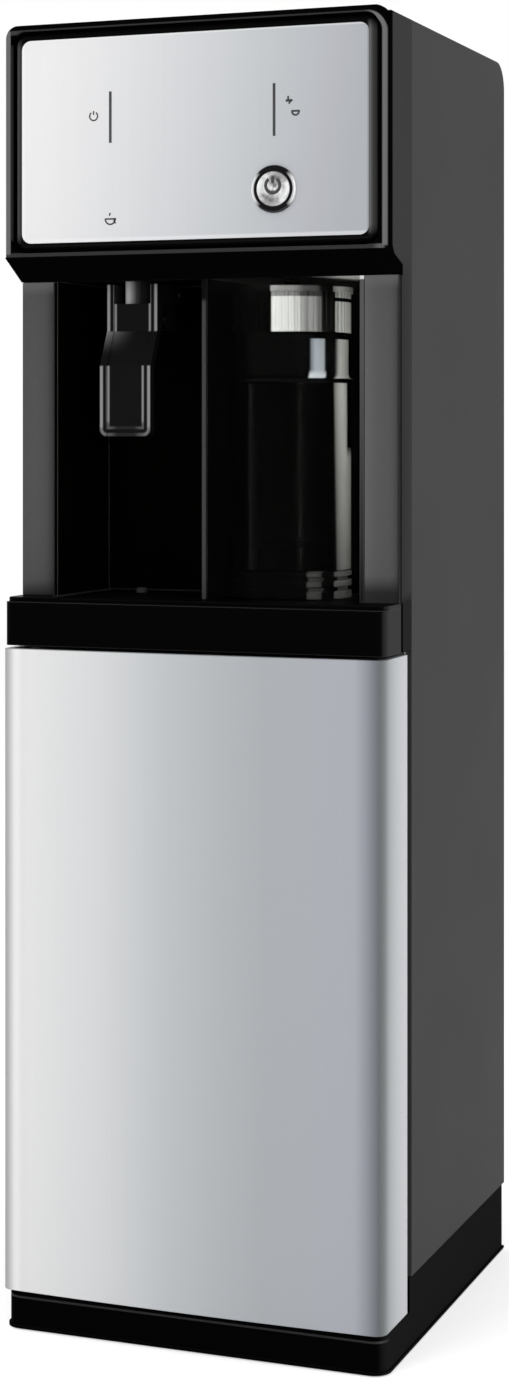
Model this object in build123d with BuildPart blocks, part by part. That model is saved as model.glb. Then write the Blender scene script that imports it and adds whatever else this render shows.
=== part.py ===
"""Floor-standing water cooler that is fed from the mains.

A push lever under the head fills a cup in the left bay, a glass hot tank stands behind a tinted
window in the right bay, and the filters sit behind the hinged door below.

Millimetres. X is to the right seen from the front, Y towards the back and Z up. The origin is on
the floor, in the middle of the casing.
"""

import os
from math import cos, pi, radians, sin

from build123d import *

# Casing
casing_width = 310.0
casing_depth = 332.0  # from the crown of the door to the rear edge of the side panels
sheet = 1.0  # painted steel sheet
wall = 3.0  # moulded plastic wall
seam = 0.3  # between fixed pieces that meet edge to edge

# Heights of the storeys, from the floor up
plinth_height = 56.0
sill_height = 29.0  # front part of the plinth, under the door
door_height = 493.0
deck_height = 33.5
plate_height = 3.5  # top plate of the deck
niche_height = 244.5
bevel_height = 17.5  # from the niche's ceiling to the bottom of the face
face_height = 179.0
roof_drop = 3.5  # the roof lies this much below the top of the head frame

# Setbacks from the crown of the door
deck_setback = 6.5
plinth_setback = 8.3
head_setback = 8.5
jamb_setback = 39.5
panel_setback = 69.5  # front edge of the side panels

# Plinth
lip_width = 1.5
lip_height = 3.0
plinth_corner = 12.0
foot_radius = 12.0
foot_height = 8.0
foot_inset = 26.0
foot_drop = 1.0  # the feet lift the plinth this much off the floor

# Panels
panel_corner = 22.0
flange_width = 12.0
louvre_length = 90.0
louvre_height = 4.0
louvre_pitch = 14.0
louvre_spacing = 120.0
louvre_rows = 16
back_margin = 20.0  # from the plinth's top to the back panel
screw_radius = 3.5
screw_head = 0.9
roof_leg = 40.0  # how far the roof sheet comes down the back

# Door
door_gap = 2.5
door_side_inset = 0.2  # of the door's sides from the casing's sides
door_crown = 3.0
door_corner = 9.0
door_return = 59.5  # depth of the door's sides, from the crown to the rear edge
door_sheet = 1.2
door_flange = 5.0
liner_wall = 2.5
liner_gap = 0.2
hinge_x_inset = 9.0  # from the door's side to the pin
hinge_y_inset = 5.5  # from the door's rear edge to the pin
pin_radius = 2.5
pin_clearance = 0.06
pin_reach = 9.0  # of the pin inside the door
boss_radius = 5.3
boss_height = 10.0
catch_height = 300.0
magnet_height = 40.0
magnet_width = 12.0
magnet_depth = 6.0
catch_gap = 0.5
post_width = 22.0
post_gap = 6.0  # behind the door's rear edge

# Deck, grille and drip tray
deck_inset = 0.5  # of the deck's sides from the casing's sides
deck_corner = 7.0
plate_step = 4.5  # the top plate is set back this much
deck_wing = 38.5  # depth of the wide front part of the deck
deck_shoulder_gap = 0.5  # beside the cheeks
deck_neck_gap = 1.0  # beside and in front of the cheeks' folds
tray_margin = 3.5  # from the left bay's outer wall to the drip tray
tray_length = 112.0
tray_wall = 1.8
tray_corner = 6.0
tray_gap = 0.6
tray_front = 13.0  # from the deck's front to the drip tray
grille_thickness = 2.6
grille_lip = 3.0
slot_width = 3.0
slot_pitch = 7.0
slot_margin = 9.0
knob_land = 26.0  # unslotted strip behind the slots, for the knob
knob_radius = 4.5
knob_height = 4.0
knob_shift = 16.5  # of the knob to the left of the tap's middle
knob_from_back = 27.5

# Niche
jamb_width = 31.0  # from the casing's side to the bays
niche_depth = 98.0
niche_wall = 3.3
bay_extra = 6.5  # the right bay is deeper than the left one
divider_x = -1.15
divider_width = 3.3
jamb_thickness = 4.0
jamb_edge = 0.4  # jambs end this much inside the casing's side
window_thickness = 3.0
trim_proud = 0.4
trim_drop = 1.0

# Head
ring_depth = 10.5
bevel_setback = 47.5  # rear edge of the bevel's underside
bevel_heel = 7.5  # height of the bevel's rear edge
ring_corner = 10.0
ring_edge = 4.0  # rounding of the front edge
bead_side = 5.5
bead_top = 5.0
bead_bottom = 3.0
opening_corner = 11.5
groove = 2.5  # beside the carrier
groove_end = 2.0  # above and below the carrier
carrier_recess = 2.7  # flat of the carrier behind the front of the ring
carrier_thickness = 6.8
carrier_edge = 5.0
carrier_corner = 9.0
plate_border = 6.0  # from the carrier's side to the silver plate
plate_border_end = 5.4
plate_fit = 0.05  # round the silver plate in its pocket
plate_corner = 7.5
plate_thickness = 1.2
plate_proud = 0.4

# Light bars and push button
bar_x = 66.5
bar_width = 2.2
bar_depth = 2.5
bar_length = 39.2
bar_height_up = 85.5  # from the bottom of the face to the lower end of the bars
button_up = 46.0  # from the bottom of the face to the button's axis
bezel_radius = 17.8
bezel_bore = 13.2
bezel_barrel = 15.9
barrel_hole = 16.0
bezel_proud = 2.2
bezel_edge = 1.5  # rounding of the bezel's front
cap_gap = 0.2
cap_proud = 0.8  # in front of the bezel
cap_flange = 14.9
cap_depth = 8.9  # from the cap's front to its flange
flange_thickness = 2.0
button_travel = 3.0
button_cup = 8.0  # depth of the cup behind the carrier
cup_radius = 19.0
cup_floor = 2.0
spring_wire = 0.8
spring_radius = 11.0
spring_turns = 2.0
stem_radius = 4.0
stem_hole = 4.5
stem_length = 10.3
switch_gap = 0.1  # to the pressed stem
switch_width = 14.0
switch_depth = 5.9
board_half = 110.0
board_thickness = 1.6
board_post_x = 95.0
board_post_radius = 3.0

# Tap
tap_shift = 3.1  # of the tap from the left bay's middle, away from the divider
nozzle_radius = 13.0
nozzle_bore = 4.0
spout_radius = 7.0
nozzle_from_back = 65.5  # from the niche's back wall to the nozzle's axis
collar_drop = 21.5  # of the nozzle's thick part under the ceiling
spout_drop = 40.5
lever_half = 21.25
rail_width = 5.75
lever_top = 2.5  # under the ceiling
lever_plate_top = 17.5
slope_top = 38.5
slope_bottom = 66.5
lever_drop = 120.5
lever_front = 13.0  # upper part behind the jambs
paddle_front = 1.0  # paddle in front of the jambs
lever_wall = 3.0
rail_depth = 8.0
rail_proud = 1.2
paddle_corner = 6.0
lever_pin_radius = 2.0
lever_pin_drop = 9.5
lever_pin_back = 25.0  # from the nozzle's axis to the lever's pin
lever_arm_height = 13.0
web_half = 14.5
web_gap = 0.5
web_length = 23.0
block_height = 10.5  # of the tap's block above the ceiling
block_margin = 8.0
barb_x = 15.0  # of the two hose barbs from the tap's middle
web_drop = 37.5
plunger_radius = 2.0
plunger_x = 11.2  # from the tap's middle
plunger_drop = 29.5
plunger_gap = 0.4
plunger_length = 42.9
plunger_collar = 3.8
collar_setback = 9.4  # from the plunger's tip to its collar
collar_width = 1.5
plunger_wire = 0.6
plunger_coil = 3.3
plunger_turns = 7.0

# Hot tank
tank_margin = 5.65  # from the divider's middle to the tank's foot
tank_gap = 3.5  # between the window and the glass
glass_radius = 46.0
glass_wall = 2.5
glass_height = 143.0
base_radius = 46.5
base_step = 3.0
base_rings = ((0.0, 6.0), (9.0, 5.0), (17.0, 4.0))  # bottom and height of each ring
base_height = 22.0
collar_radius = 47.5
collar_height = 3.5
neck_radius = 44.0
neck_height = 31.5
gasket_height = 3.7
cap_radius = 46.0
cap_height = 30.5
cap_ribs = 60
rib_depth = 0.8
rim_radius = 47.5
rim_height = 4.8
outlet_radius = 6.0
outlet_height = 19.0
heater_radius = 4.0
heater_ring = 26.0
heater_up = 20.0

# Machine bay
shelf_sheet = 1.2
partition_back = 10.0  # behind the niche's back wall
shelf_rise = 88.0  # from the deck's underside to the cold tank's shelf
cold_side_gap = 13.0  # from the cold tank's foam to the casing's side
cold_radius = 55.0
cold_height = 210.0
cold_wall = 1.2
foam_wall = 17.0
compressor_x = 30.0
compressor_gap = 14.45  # before and behind the can
can_wall = 3.0
motor_radius = 45.0
motor_height = 90.0
compressor_height = 150.0
compressor_dome = 28.0
pipe_radius = 3.0
pipe_bend = 9.0
discharge_x = -42.0  # where the compressor's stub meets the condenser's tube
pipe_offset = 16.0  # of the two pipes before and behind the can's middle
discharge_margin = 27.0  # from the casing's side to the pipe's upright run
suction_shift = 20.0  # of the suction pipe from the cold tank's axis
mount_radius = 10.0
mount_height = 14.0
mount_neck = 6.0
condenser_passes = 9
condenser_pitch = 46.0
condenser_depth = 16.0  # of the tube's axis from the rear edge
condenser_margin = 40.0  # from the casing's side to the tube's bends
condenser_bottom = 150.0
fin_radius = 0.9
fin_depth = 2.7  # of the wires' axes in front of the tube's axis
fin_count = 12
fin_shift = 4.0  # keeps the wires beside the stand-offs

# Water side
filter_radius = 38.0
filter_length = 300.0
filter_spacing = 110.0
filter_count = 2
filter_gap = 5.5  # in front of the partition
head_drop = 80.7  # from the deck down to the filters' manifold
grip_drop = 60.0  # from the top of a cartridge down to its grip
grip_height = 30.0
grip_ribs = 12
head_block = 36.0
neck_pin = 12.0
hose_bore = 3.5
hose_wall = 1.3
hose_bend = 16.0
barb_length = 14.0
valve_depth = 26.0
barb_bore = 2.2
supply_x = -60.0  # the hose from the inlet valve to the filters
cold_feed_x = 80.0  # the hose from the filters to the cold tank

# Service recess in the back
recess_x = (-90.0, 130.0)
recess_z = (62.0, 106.0)
recess_depth = 20.0
recess_wall = 2.0
recess_lip = 5.0
service_z = 84.0  # height of the fittings in it
fitting_radius = 11.0
fitting_bore = 3.2
fitting_depth = 18.0
fitting_length = 27.0
fitting_setback = 6.0  # of the fittings' ends from the rear edge
nut_width = 4.0
drain_x = (40.0, 85.0)
drain_radius = 7.0
drain_bore = 5.0
drain_cap_radius = 12.0
drain_cap_length = 17.0
drain_cap_end = 2.0
drain_cap_gap = 0.3
gland_x = 116.0
gland_radius = 9.0
gland_bore = 4.0

# Rear switches
rocker_x = 95.0
rocker_z = 700.0
rocker_width = 14.0
rocker_height = 26.0
rocker_depth = 6.0
rocker_pitch = 24.0
rocker_tilt = 9.0
rocker_gap = 0.4
rocker_pin = 1.5
rocker_pin_reach = 1.5
rocker_setback = 8.8  # of the pivot from the rear edge
housing_depth = 22.0
housing_width = 50.0
housing_height = 38.0

# Places worked out from the sizes above
half_width = casing_width / 2
niche_half = half_width - jamb_width
y_front = -casing_depth / 2
y_back = casing_depth / 2
y_deck = y_front + deck_setback
y_plinth = y_front + plinth_setback
y_head = y_front + head_setback
y_jamb = y_front + jamb_setback
y_panel = y_front + panel_setback
y_door_end = y_front + door_return
y_post = y_door_end + post_gap
y_wing = y_deck + deck_wing
y_ring_back = y_head + ring_depth
y_bevel = y_front + bevel_setback
y_niche = y_jamb + niche_depth
y_bay = y_niche + bay_extra
y_window = y_jamb + window_thickness
y_partition = y_niche + partition_back
deck_shoulder = half_width - wall - deck_shoulder_gap
deck_neck = half_width - wall - flange_width - deck_neck_gap
y_shoulder = y_panel - seam - wall - deck_neck_gap
z_door = sill_height + door_gap
z_deck = z_door + door_height + door_gap
z_plate = z_deck + deck_height
z_niche = z_plate + plate_height
z_ceiling = z_niche + niche_height
z_face = z_ceiling + bevel_height
z_top = z_face + face_height
z_roof = z_top - roof_drop

hinge_x = door_side_inset + hinge_x_inset - half_width
hinge_y = y_door_end - hinge_y_inset
post_x = half_width - wall - 1
bay_end = divider_x - divider_width / 2
tap_x = (bay_end - niche_half) / 2 - tap_shift
tray_width = 2 * (tap_x + niche_half - tray_margin)
tray_y = y_deck + tray_front + tray_length / 2
knob_x = tap_x - knob_shift
knob_y = y_niche - knob_from_back

z_opening = z_face + bead_bottom
z_opening_top = z_top - bead_top
opening_half = half_width - bead_side
y_carrier = y_head + carrier_recess
y_carrier_back = y_carrier + carrier_thickness
y_plate = y_carrier - plate_proud
z_carrier = z_opening + groove_end
z_carrier_top = z_opening_top - groove_end
carrier_half = opening_half - groove
plate_half = carrier_half - plate_border
z_bar = z_face + bar_height_up
z_button = z_face + button_up
y_bezel = y_plate - bezel_proud
y_cap = y_bezel - cap_proud
y_cap_flange = y_cap + cap_depth
y_cap_back = y_cap_flange + flange_thickness
y_cup_floor = y_carrier_back + button_cup
y_stem_end = y_cap_back + stem_length
y_switch = y_stem_end + button_travel + switch_gap
y_board = y_switch + switch_depth

y_nozzle = y_niche - nozzle_from_back
y_lever = y_jamb + lever_front
y_paddle = y_jamb - paddle_front
y_lever_pin = y_nozzle + lever_pin_back
z_lever_pin = z_ceiling - lever_pin_drop
y_web = y_nozzle + nozzle_radius + web_gap
y_plunger = y_lever + rail_proud + lever_wall + plunger_gap
y_collar = y_plunger + collar_setback
z_plunger = z_ceiling - plunger_drop

tank_x = divider_x + tank_margin + base_radius
y_tank = y_window + tank_gap + glass_radius
z_glass = z_niche + base_height
z_collar = z_glass + glass_height
z_neck = z_collar + collar_height
z_gasket = z_neck + neck_height
z_cap = z_gasket + gasket_height
z_rim = z_cap + cap_height
z_outlet = z_rim + rim_height + outlet_height

shelf_height = z_deck + shelf_rise
z_shelf = shelf_height + shelf_sheet
z_cold = z_shelf + foam_wall
cold_x = cold_radius + foam_wall + cold_side_gap - half_width
cold_y = (y_niche + y_back) / 2
condenser_y = y_back - condenser_depth
condenser_half = half_width - condenser_margin
y_fins = condenser_y - fin_depth - fin_radius
y_foot = y_partition + flange_width
compressor_radius = (y_fins - y_foot) / 2 - compressor_gap
compressor_y = (y_fins + y_foot) / 2
mount_spread = compressor_radius
discharge_y = compressor_y + pipe_offset
discharge_turn_x = discharge_margin - half_width
suction_x = cold_x - suction_shift
suction_y = compressor_y - pipe_offset
z_head = z_deck - head_drop - head_block
filter_bottom = z_head - seam - filter_length
filter_y = y_partition - filter_gap - filter_radius
z_port = z_head + head_block / 2
pipe_z = sill_height + mount_height + compressor_height / 2
y_hose = y_partition + sheet + 2 * hose_bend
y_fitting = y_back - fitting_setback
y_recess = y_back - sheet - recess_depth
y_rocker = y_back - rocker_setback

os.makedirs("parts", exist_ok=True)


def save(piece, name):
    """Label a finished piece and write it."""
    piece.part.label = name
    export_step(piece.part, f"parts/{name}.step")


def block(x, y, z, mode=Mode.ADD):
    """Add or cut a box given by its low and high x, y and z."""
    spans = (x, y, z)
    with Locations(tuple(sum(span) / 2 for span in spans)):
        Box(*[span[1] - span[0] for span in spans], mode=mode)


def rod(radius, start, axis, length, mode=Mode.ADD):
    """Add or cut a cylinder that runs from a point along an axis."""
    with Locations(Plane(origin=start, z_dir=axis)):
        Cylinder(radius, length, align=(Align.CENTER, Align.CENTER, Align.MIN), mode=mode)


def front_plane(y):
    """A plane across the casing, drawn in x and z, that faces the front."""
    return Plane(origin=(0, y, 0), x_dir=(1, 0, 0), z_dir=(0, -1, 0))


def side_plane(x):
    """A plane from front to back, drawn in y and z, that faces right."""
    return Plane(origin=(x, 0, 0), x_dir=(0, 1, 0), z_dir=(1, 0, 0))


def rounded_front(x_half, y_near, y_far, radius):
    """Sketch a plan outline whose two front corners are round."""
    with BuildSketch() as outline:
        with BuildLine():
            FilletPolyline(
                (-x_half, y_far), (-x_half, y_near), (x_half, y_near), (x_half, y_far), radius=radius
            )
            Line((x_half, y_far), (-x_half, y_far))
        make_face()
    return outline.sketch


# Casing


def make_plinth():
    """The black base: a shell with a low sill, a rim behind, a lip at the floor and a hinge boss."""
    side = half_width - lip_width
    rear = y_back - 2 * sheet
    rim_front = y_panel - seam
    with BuildPart() as plinth:
        extrude(rounded_front(side, y_plinth, rear, plinth_corner), amount=plinth_height)
        block((-casing_width, casing_width), (-casing_depth, rim_front), (sill_height, plinth_height),
              Mode.SUBTRACT)
        block((-side + wall, side - wall), (-casing_depth, rear - wall), (sill_height, plinth_height),
              Mode.SUBTRACT)
        inner = rounded_front(side - wall, y_plinth + wall, rear - wall, plinth_corner - wall)
        extrude(inner, amount=sill_height - wall, mode=Mode.SUBTRACT)
        lip = rounded_front(half_width, y_plinth - lip_width, rear + lip_width, plinth_corner + lip_width)
        extrude(lip, amount=lip_height)
        extrude(inner, amount=lip_height, mode=Mode.SUBTRACT)
        for x, y in foot_places():
            rod(foot_radius, (x, y, foot_height), (0, 0, 1), sill_height - wall - foot_height)
        block((-casing_width, casing_width), (-casing_depth, casing_depth), (0, foot_drop), Mode.SUBTRACT)
        rod(boss_radius, (hinge_x, hinge_y, sill_height), (0, 0, 1), door_gap - pin_clearance)
        rod(pin_radius, (hinge_x, hinge_y, sill_height - wall), (0, 0, 1), wall + door_gap, Mode.SUBTRACT)
    save(plinth, "plinth")


def foot_places():
    """Centres of the four feet."""
    x = half_width - foot_inset
    return [(sx * x, y) for sx in (-1, 1) for y in (y_plinth + foot_inset, y_back - foot_inset)]


def make_feet():
    """Four rubber feet under the plinth's bosses."""
    with BuildPart() as feet:
        for x, y in foot_places():
            rod(foot_radius, (x, y, 0), (0, 0, 1), foot_height)
    save(feet, "feet")


def side_outline(x, front, bottom):
    """Sketch a side panel's outline, with its round corner at the top of the back."""
    with BuildSketch(side_plane(x)) as outline:
        with BuildLine():
            Line((front, bottom), (front, z_roof))
            Line((front, z_roof), (y_back - panel_corner, z_roof))
            RadiusArc((y_back - panel_corner, z_roof), (y_back, z_roof - panel_corner), panel_corner)
            Line((y_back, z_roof - panel_corner), (y_back, bottom))
            Line((y_back, bottom), (front, bottom))
        make_face()
    return outline.sketch


def make_side_panels():
    """The painted steel sides, each with folds along its front, bottom and rear edges."""
    bottom = plinth_height + seam
    with BuildPart() as panels:
        for side in (-1, 1):
            outer = half_width * side
            inner = (half_width - sheet) * side
            folds = sorted((inner, (half_width - sheet - flange_width) * side))
            extrude(side_outline(min(outer, inner), y_panel, bottom), amount=sheet)
            block(folds, (y_panel, y_panel + sheet), (bottom, z_roof - panel_corner))
            block(folds, (y_panel, y_back - 2 * sheet), (bottom, bottom + sheet))
            block(folds, (y_back - 3 * sheet, y_back - 2 * sheet),
                  (bottom, z_roof - panel_corner - roof_leg))
    save(panels, "side_panels")


def make_cheeks():
    """The dark strips between the side panels and the front, each with a fold behind it."""
    rear = y_panel - seam
    niche_front = y_jamb + jamb_thickness + sheet
    with BuildPart() as cheeks:
        for side in (-1, 1):
            inner = (half_width - wall) * side
            fold = (half_width - wall - flange_width) * side
            with BuildSketch(side_plane(min(half_width * side, inner))):
                with BuildLine():
                    Polyline(
                        (rear, z_deck + seam),
                        (y_wing + wall, z_deck + seam),
                        (y_wing + wall, z_niche),
                        (niche_front, z_niche),
                        (niche_front, z_ceiling - seam),
                        (y_bevel + seam, z_ceiling - seam),
                        (y_bevel + seam, z_ceiling + bevel_heel + seam),
                        (y_ring_back + seam, z_face + seam),
                        (y_ring_back + seam, z_roof),
                        (rear, z_roof),
                        close=True,
                    )
                make_face()
            extrude(amount=wall)
            block(sorted((fold, inner)), (rear - wall, rear), (z_deck + seam, z_roof - 2 * sheet))
    save(cheeks, "cheeks")


def make_roof():
    """The roof sheet, which turns down over the back."""
    top = z_roof - seam
    back = y_back - sheet / 2
    corner = panel_corner - sheet / 2
    leg = top - corner - roof_leg
    inner_half = half_width - sheet - seam
    with BuildPart() as roof:
        with BuildSketch(side_plane(-inner_half)):
            with BuildLine():
                Line((y_ring_back + seam, top), (back - corner, top))
                RadiusArc((back - corner, top), (back, top - corner), corner)
                Line((back, top - corner), (back, leg))
                Line((back, leg), (back - sheet, leg))
                Line((back - sheet, leg), (back - sheet, top - corner))
                RadiusArc((back - sheet, top - corner), (back - corner, top - sheet), -(corner - sheet))
                Line((back - corner, top - sheet), (y_ring_back + seam, top - sheet))
                Line((y_ring_back + seam, top - sheet), (y_ring_back + seam, top))
            make_face()
        extrude(amount=2 * inner_half)
        for side in (-1, 1):
            edge = sorted((side * (half_width - wall - seam), side * half_width))
            block(edge, (y_ring_back, y_panel), (top - 2 * sheet, top + sheet), Mode.SUBTRACT)
    save(roof, "roof")


def back_screw_places():
    """Centres of the screws down both edges of the back panel."""
    x = half_width - sheet - seam - flange_width / 2
    low = plinth_height + back_margin
    high = z_roof - panel_corner - roof_leg - 20
    return [(sx * x, low + (high - low) * i / 3) for sx in (-1, 1) for i in range(4)]


def make_back_panel():
    """The back sheet, with louvre slots for the condenser's air and holes for the fittings."""
    back = y_back - sheet
    inner_half = half_width - sheet - seam
    top = z_roof - panel_corner - roof_leg
    louvre_z = condenser_bottom + (condenser_passes - 1) * condenser_pitch / 2
    with BuildPart() as panel:
        block((-inner_half, inner_half), (back - sheet, back), (plinth_height + seam, top))
        with BuildSketch(front_plane(back)):
            with Locations((0, louvre_z)):
                with GridLocations(louvre_spacing, louvre_pitch, 2, louvre_rows):
                    SlotOverall(louvre_length, louvre_height)
            with Locations((rocker_x, rocker_z)):
                Rectangle(housing_width + 2 * seam, housing_height + 2 * seam)
        extrude(amount=sheet, mode=Mode.SUBTRACT)
        block((recess_x[0] - seam, recess_x[1] + seam), (back - sheet, back),
              (recess_z[0] - seam, recess_z[1] + seam), Mode.SUBTRACT)
    save(panel, "back_panel")


def make_back_screws():
    """Pan head screws that hold the back panel."""
    with BuildPart() as screws:
        for x, z in back_screw_places():
            rod(screw_radius, (x, y_back - sheet, z), (0, 1, 0), screw_head)
        fillet(screws.faces().group_by(Axis.Y)[-1].edges(), screw_head - seam)
    save(screws, "back_screws")


# Door


def door_outline(z, inset):
    """Sketch the door's plan at a height: a crowned front, round corners and straight sides."""
    half = half_width - door_side_inset - inset
    radius = door_corner - inset
    front = y_front + inset
    shoulder = front + door_crown
    with BuildSketch(Plane.XY.offset(z)) as outline:
        with BuildLine():
            ThreePointArc((-half, shoulder), (0, front), (half, shoulder))
            Line((half, shoulder), (half, y_door_end))
            Line((half, y_door_end), (-half, y_door_end))
            Line((-half, y_door_end), (-half, shoulder))
        make_face()
        fillet(outline.vertices().group_by(Axis.Y)[0], radius)
    return outline.sketch


def make_door_panel():
    """The silver front sheet, folded in along its top and bottom edges."""
    with BuildPart() as panel:
        extrude(door_outline(z_door, 0), amount=door_height)
        hollow = door_height - 2 * door_sheet
        extrude(door_outline(z_door + door_sheet, door_sheet), amount=hollow, mode=Mode.SUBTRACT)
        extrude(door_outline(z_door, door_sheet + door_flange), amount=door_height, mode=Mode.SUBTRACT)
        rod(boss_radius + seam, (hinge_x, hinge_y, z_door), (0, 0, 1), door_height, Mode.SUBTRACT)
    save(panel, "door_panel")


def make_door_liner():
    """The moulded pan behind the door sheet, with a boss for each hinge pin."""
    skin = door_sheet + liner_gap
    low = z_door + skin
    height = door_height - 2 * skin
    with BuildPart() as liner:
        extrude(door_outline(low, skin), amount=height)
        hollow = height - 2 * liner_wall
        extrude(door_outline(low + liner_wall, skin + liner_wall), amount=hollow, mode=Mode.SUBTRACT)
        for z in (z_door, z_door + door_height - boss_height):
            rod(boss_radius, (hinge_x, hinge_y, z), (0, 0, 1), boss_height)
        rod(pin_radius + pin_clearance, (hinge_x, hinge_y, z_door), (0, 0, 1), door_height, Mode.SUBTRACT)
    save(liner, "door_liner")


def make_hinge_pins():
    """Two upright pins, one in the sill and one in the deck, that the door swings on."""
    upper = z_door + door_height - pin_reach
    with BuildPart() as pins:
        rod(pin_radius, (hinge_x, hinge_y, sill_height - wall), (0, 0, 1), wall + door_gap + pin_reach)
        rod(pin_radius, (hinge_x, hinge_y, upper), (0, 0, 1), pin_reach + door_gap + boss_height)
    save(pins, "hinge_pins")


def make_door_posts():
    """The uprights behind the door's side edges, each with a web that stiffens it."""
    with BuildPart() as posts:
        for side in (-1, 1):
            outer = post_x * side
            inner = (post_x - post_width) * side
            web = (post_x - post_width + wall) * side
            block(sorted((inner, outer)), (y_post, y_panel - seam), (sill_height, z_deck))
            block(sorted((inner, web)), (y_post, y_panel + flange_width), (sill_height, z_deck))
    save(posts, "door_posts")


def catch_block(x, y):
    """Add a block of the catch's height between two x and two y."""
    block(x, y, (catch_height - magnet_height / 2, catch_height + magnet_height / 2))


def make_door_magnet():
    """A magnet on the right post that holds the door shut."""
    x = post_x - post_width / 2
    with BuildPart() as magnet:
        catch_block((x - magnet_width / 2, x + magnet_width / 2), (y_post - magnet_depth, y_post))
    save(magnet, "door_magnet")


def make_door_strike():
    """The steel plate inside the door that meets the magnet."""
    edge = half_width - door_side_inset - door_sheet - liner_gap - liner_wall
    x = post_x - post_width / 2
    rear = y_post - magnet_depth - catch_gap
    with BuildPart() as strike:
        catch_block((x - magnet_width / 2, edge), (rear - sheet, rear))
    save(strike, "door_strike")


# Deck, drip tray and grille


def deck_plan(z, front, inset, corner):
    """Sketch the deck's plan at a height, which narrows in two steps between the cheeks."""
    half = half_width - deck_inset - inset
    shoulder = deck_shoulder - inset
    neck = deck_neck - inset
    rear = y_bay + wall - inset
    with BuildSketch(Plane.XY.offset(z)) as plan:
        with BuildLine():
            Polyline(
                (-half, front),
                (half, front),
                (half, y_wing - inset),
                (shoulder, y_wing - inset),
                (shoulder, y_shoulder - inset),
                (neck, y_shoulder - inset),
                (neck, rear),
                (-neck, rear),
                (-neck, y_shoulder - inset),
                (-shoulder, y_shoulder - inset),
                (-shoulder, y_wing - inset),
                (-half, y_wing - inset),
                close=True,
            )
        make_face()
        fillet(plan.vertices().group_by(Axis.Y)[0], corner)
    return plan.sketch


def make_deck():
    """The black shelf body, an open box that the top plate closes."""
    with BuildPart() as deck:
        extrude(deck_plan(z_deck, y_deck, 0, deck_corner), amount=deck_height)
        hollow = deck_plan(z_deck + wall, y_deck + wall, wall, deck_corner - wall)
        extrude(hollow, amount=deck_height, mode=Mode.SUBTRACT)
        rod(boss_radius, (hinge_x, hinge_y, z_deck), (0, 0, 1), boss_height)
        rod(pin_radius, (hinge_x, hinge_y, z_deck), (0, 0, 1), boss_height, Mode.SUBTRACT)
    save(deck, "deck")


def make_deck_plate():
    """The set-back top plate, with a skirted opening for the drip tray."""
    width = tray_width + 2 * tray_gap
    length = tray_length + 2 * tray_gap
    skirt = deck_height - wall
    with BuildPart() as plate:
        extrude(deck_plan(z_plate, y_deck + plate_step, 0, deck_corner), amount=plate_height)
        front = plate.faces().sort_by(Axis.Y)[0]
        fillet(front.edges().filter_by(Axis.X).sort_by(Axis.Z)[-1], sheet)
        tray_prism(width + 2 * wall, length + 2 * wall, tray_corner + wall, z_plate - skirt, skirt)
        tray_prism(width, length, tray_corner, z_deck, casing_depth, Mode.SUBTRACT)
    save(plate, "deck_plate")


def tray_prism(width, length, corner, bottom, height, mode=Mode.ADD):
    """Add or cut an upright prism with round corners about the drip tray's middle."""
    with BuildSketch(Plane(origin=(tap_x, tray_y, bottom))) as plan:
        RectangleRounded(width, length, corner)
    extrude(plan.sketch, amount=height, mode=mode)


def make_drip_tray():
    """The loose tray that catches drips, standing on the floor of the deck."""
    low = z_deck + wall
    height = deck_height - wall
    rim = 2 * tray_wall
    with BuildPart() as tray:
        tray_prism(tray_width, tray_length, tray_corner, low, height)
        tray_prism(tray_width - rim, tray_length - rim, tray_corner - tray_wall, low + tray_wall, height,
                   Mode.SUBTRACT)
    save(tray, "drip_tray")


def make_drip_grille():
    """The slotted grille that lies on the tray, with a lip that locates it."""
    rim = 2 * (tray_wall + tray_gap)
    bore = rim + 2 * tray_wall
    corner = tray_corner - tray_wall - tray_gap
    count = int((tray_width - 2 * slot_margin) / slot_pitch)
    length = tray_length - slot_margin - knob_land
    with BuildPart() as grille:
        tray_prism(tray_width, tray_length, tray_corner, z_plate, grille_thickness)
        tray_prism(tray_width - rim, tray_length - rim, corner, z_plate - grille_lip, grille_lip)
        tray_prism(tray_width - bore, tray_length - bore, corner - tray_wall, z_plate - grille_lip,
                   grille_lip, Mode.SUBTRACT)
        with BuildSketch(Plane(origin=(tap_x, tray_y + (slot_margin - knob_land) / 2, z_plate))):
            with GridLocations(slot_pitch, 0, count, 1):
                SlotOverall(length, slot_width, rotation=90)
        extrude(amount=grille_thickness, mode=Mode.SUBTRACT)
    save(grille, "drip_grille")


def make_grille_knob():
    """The small stud by which the grille is lifted out."""
    with BuildPart() as knob:
        rod(knob_radius, (knob_x, knob_y, z_plate + grille_thickness), (0, 0, 1), knob_height)
        fillet(knob.faces().sort_by(Axis.Z)[-1].edges(), knob_height / 3)
    save(knob, "grille_knob")


# Niche


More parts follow.
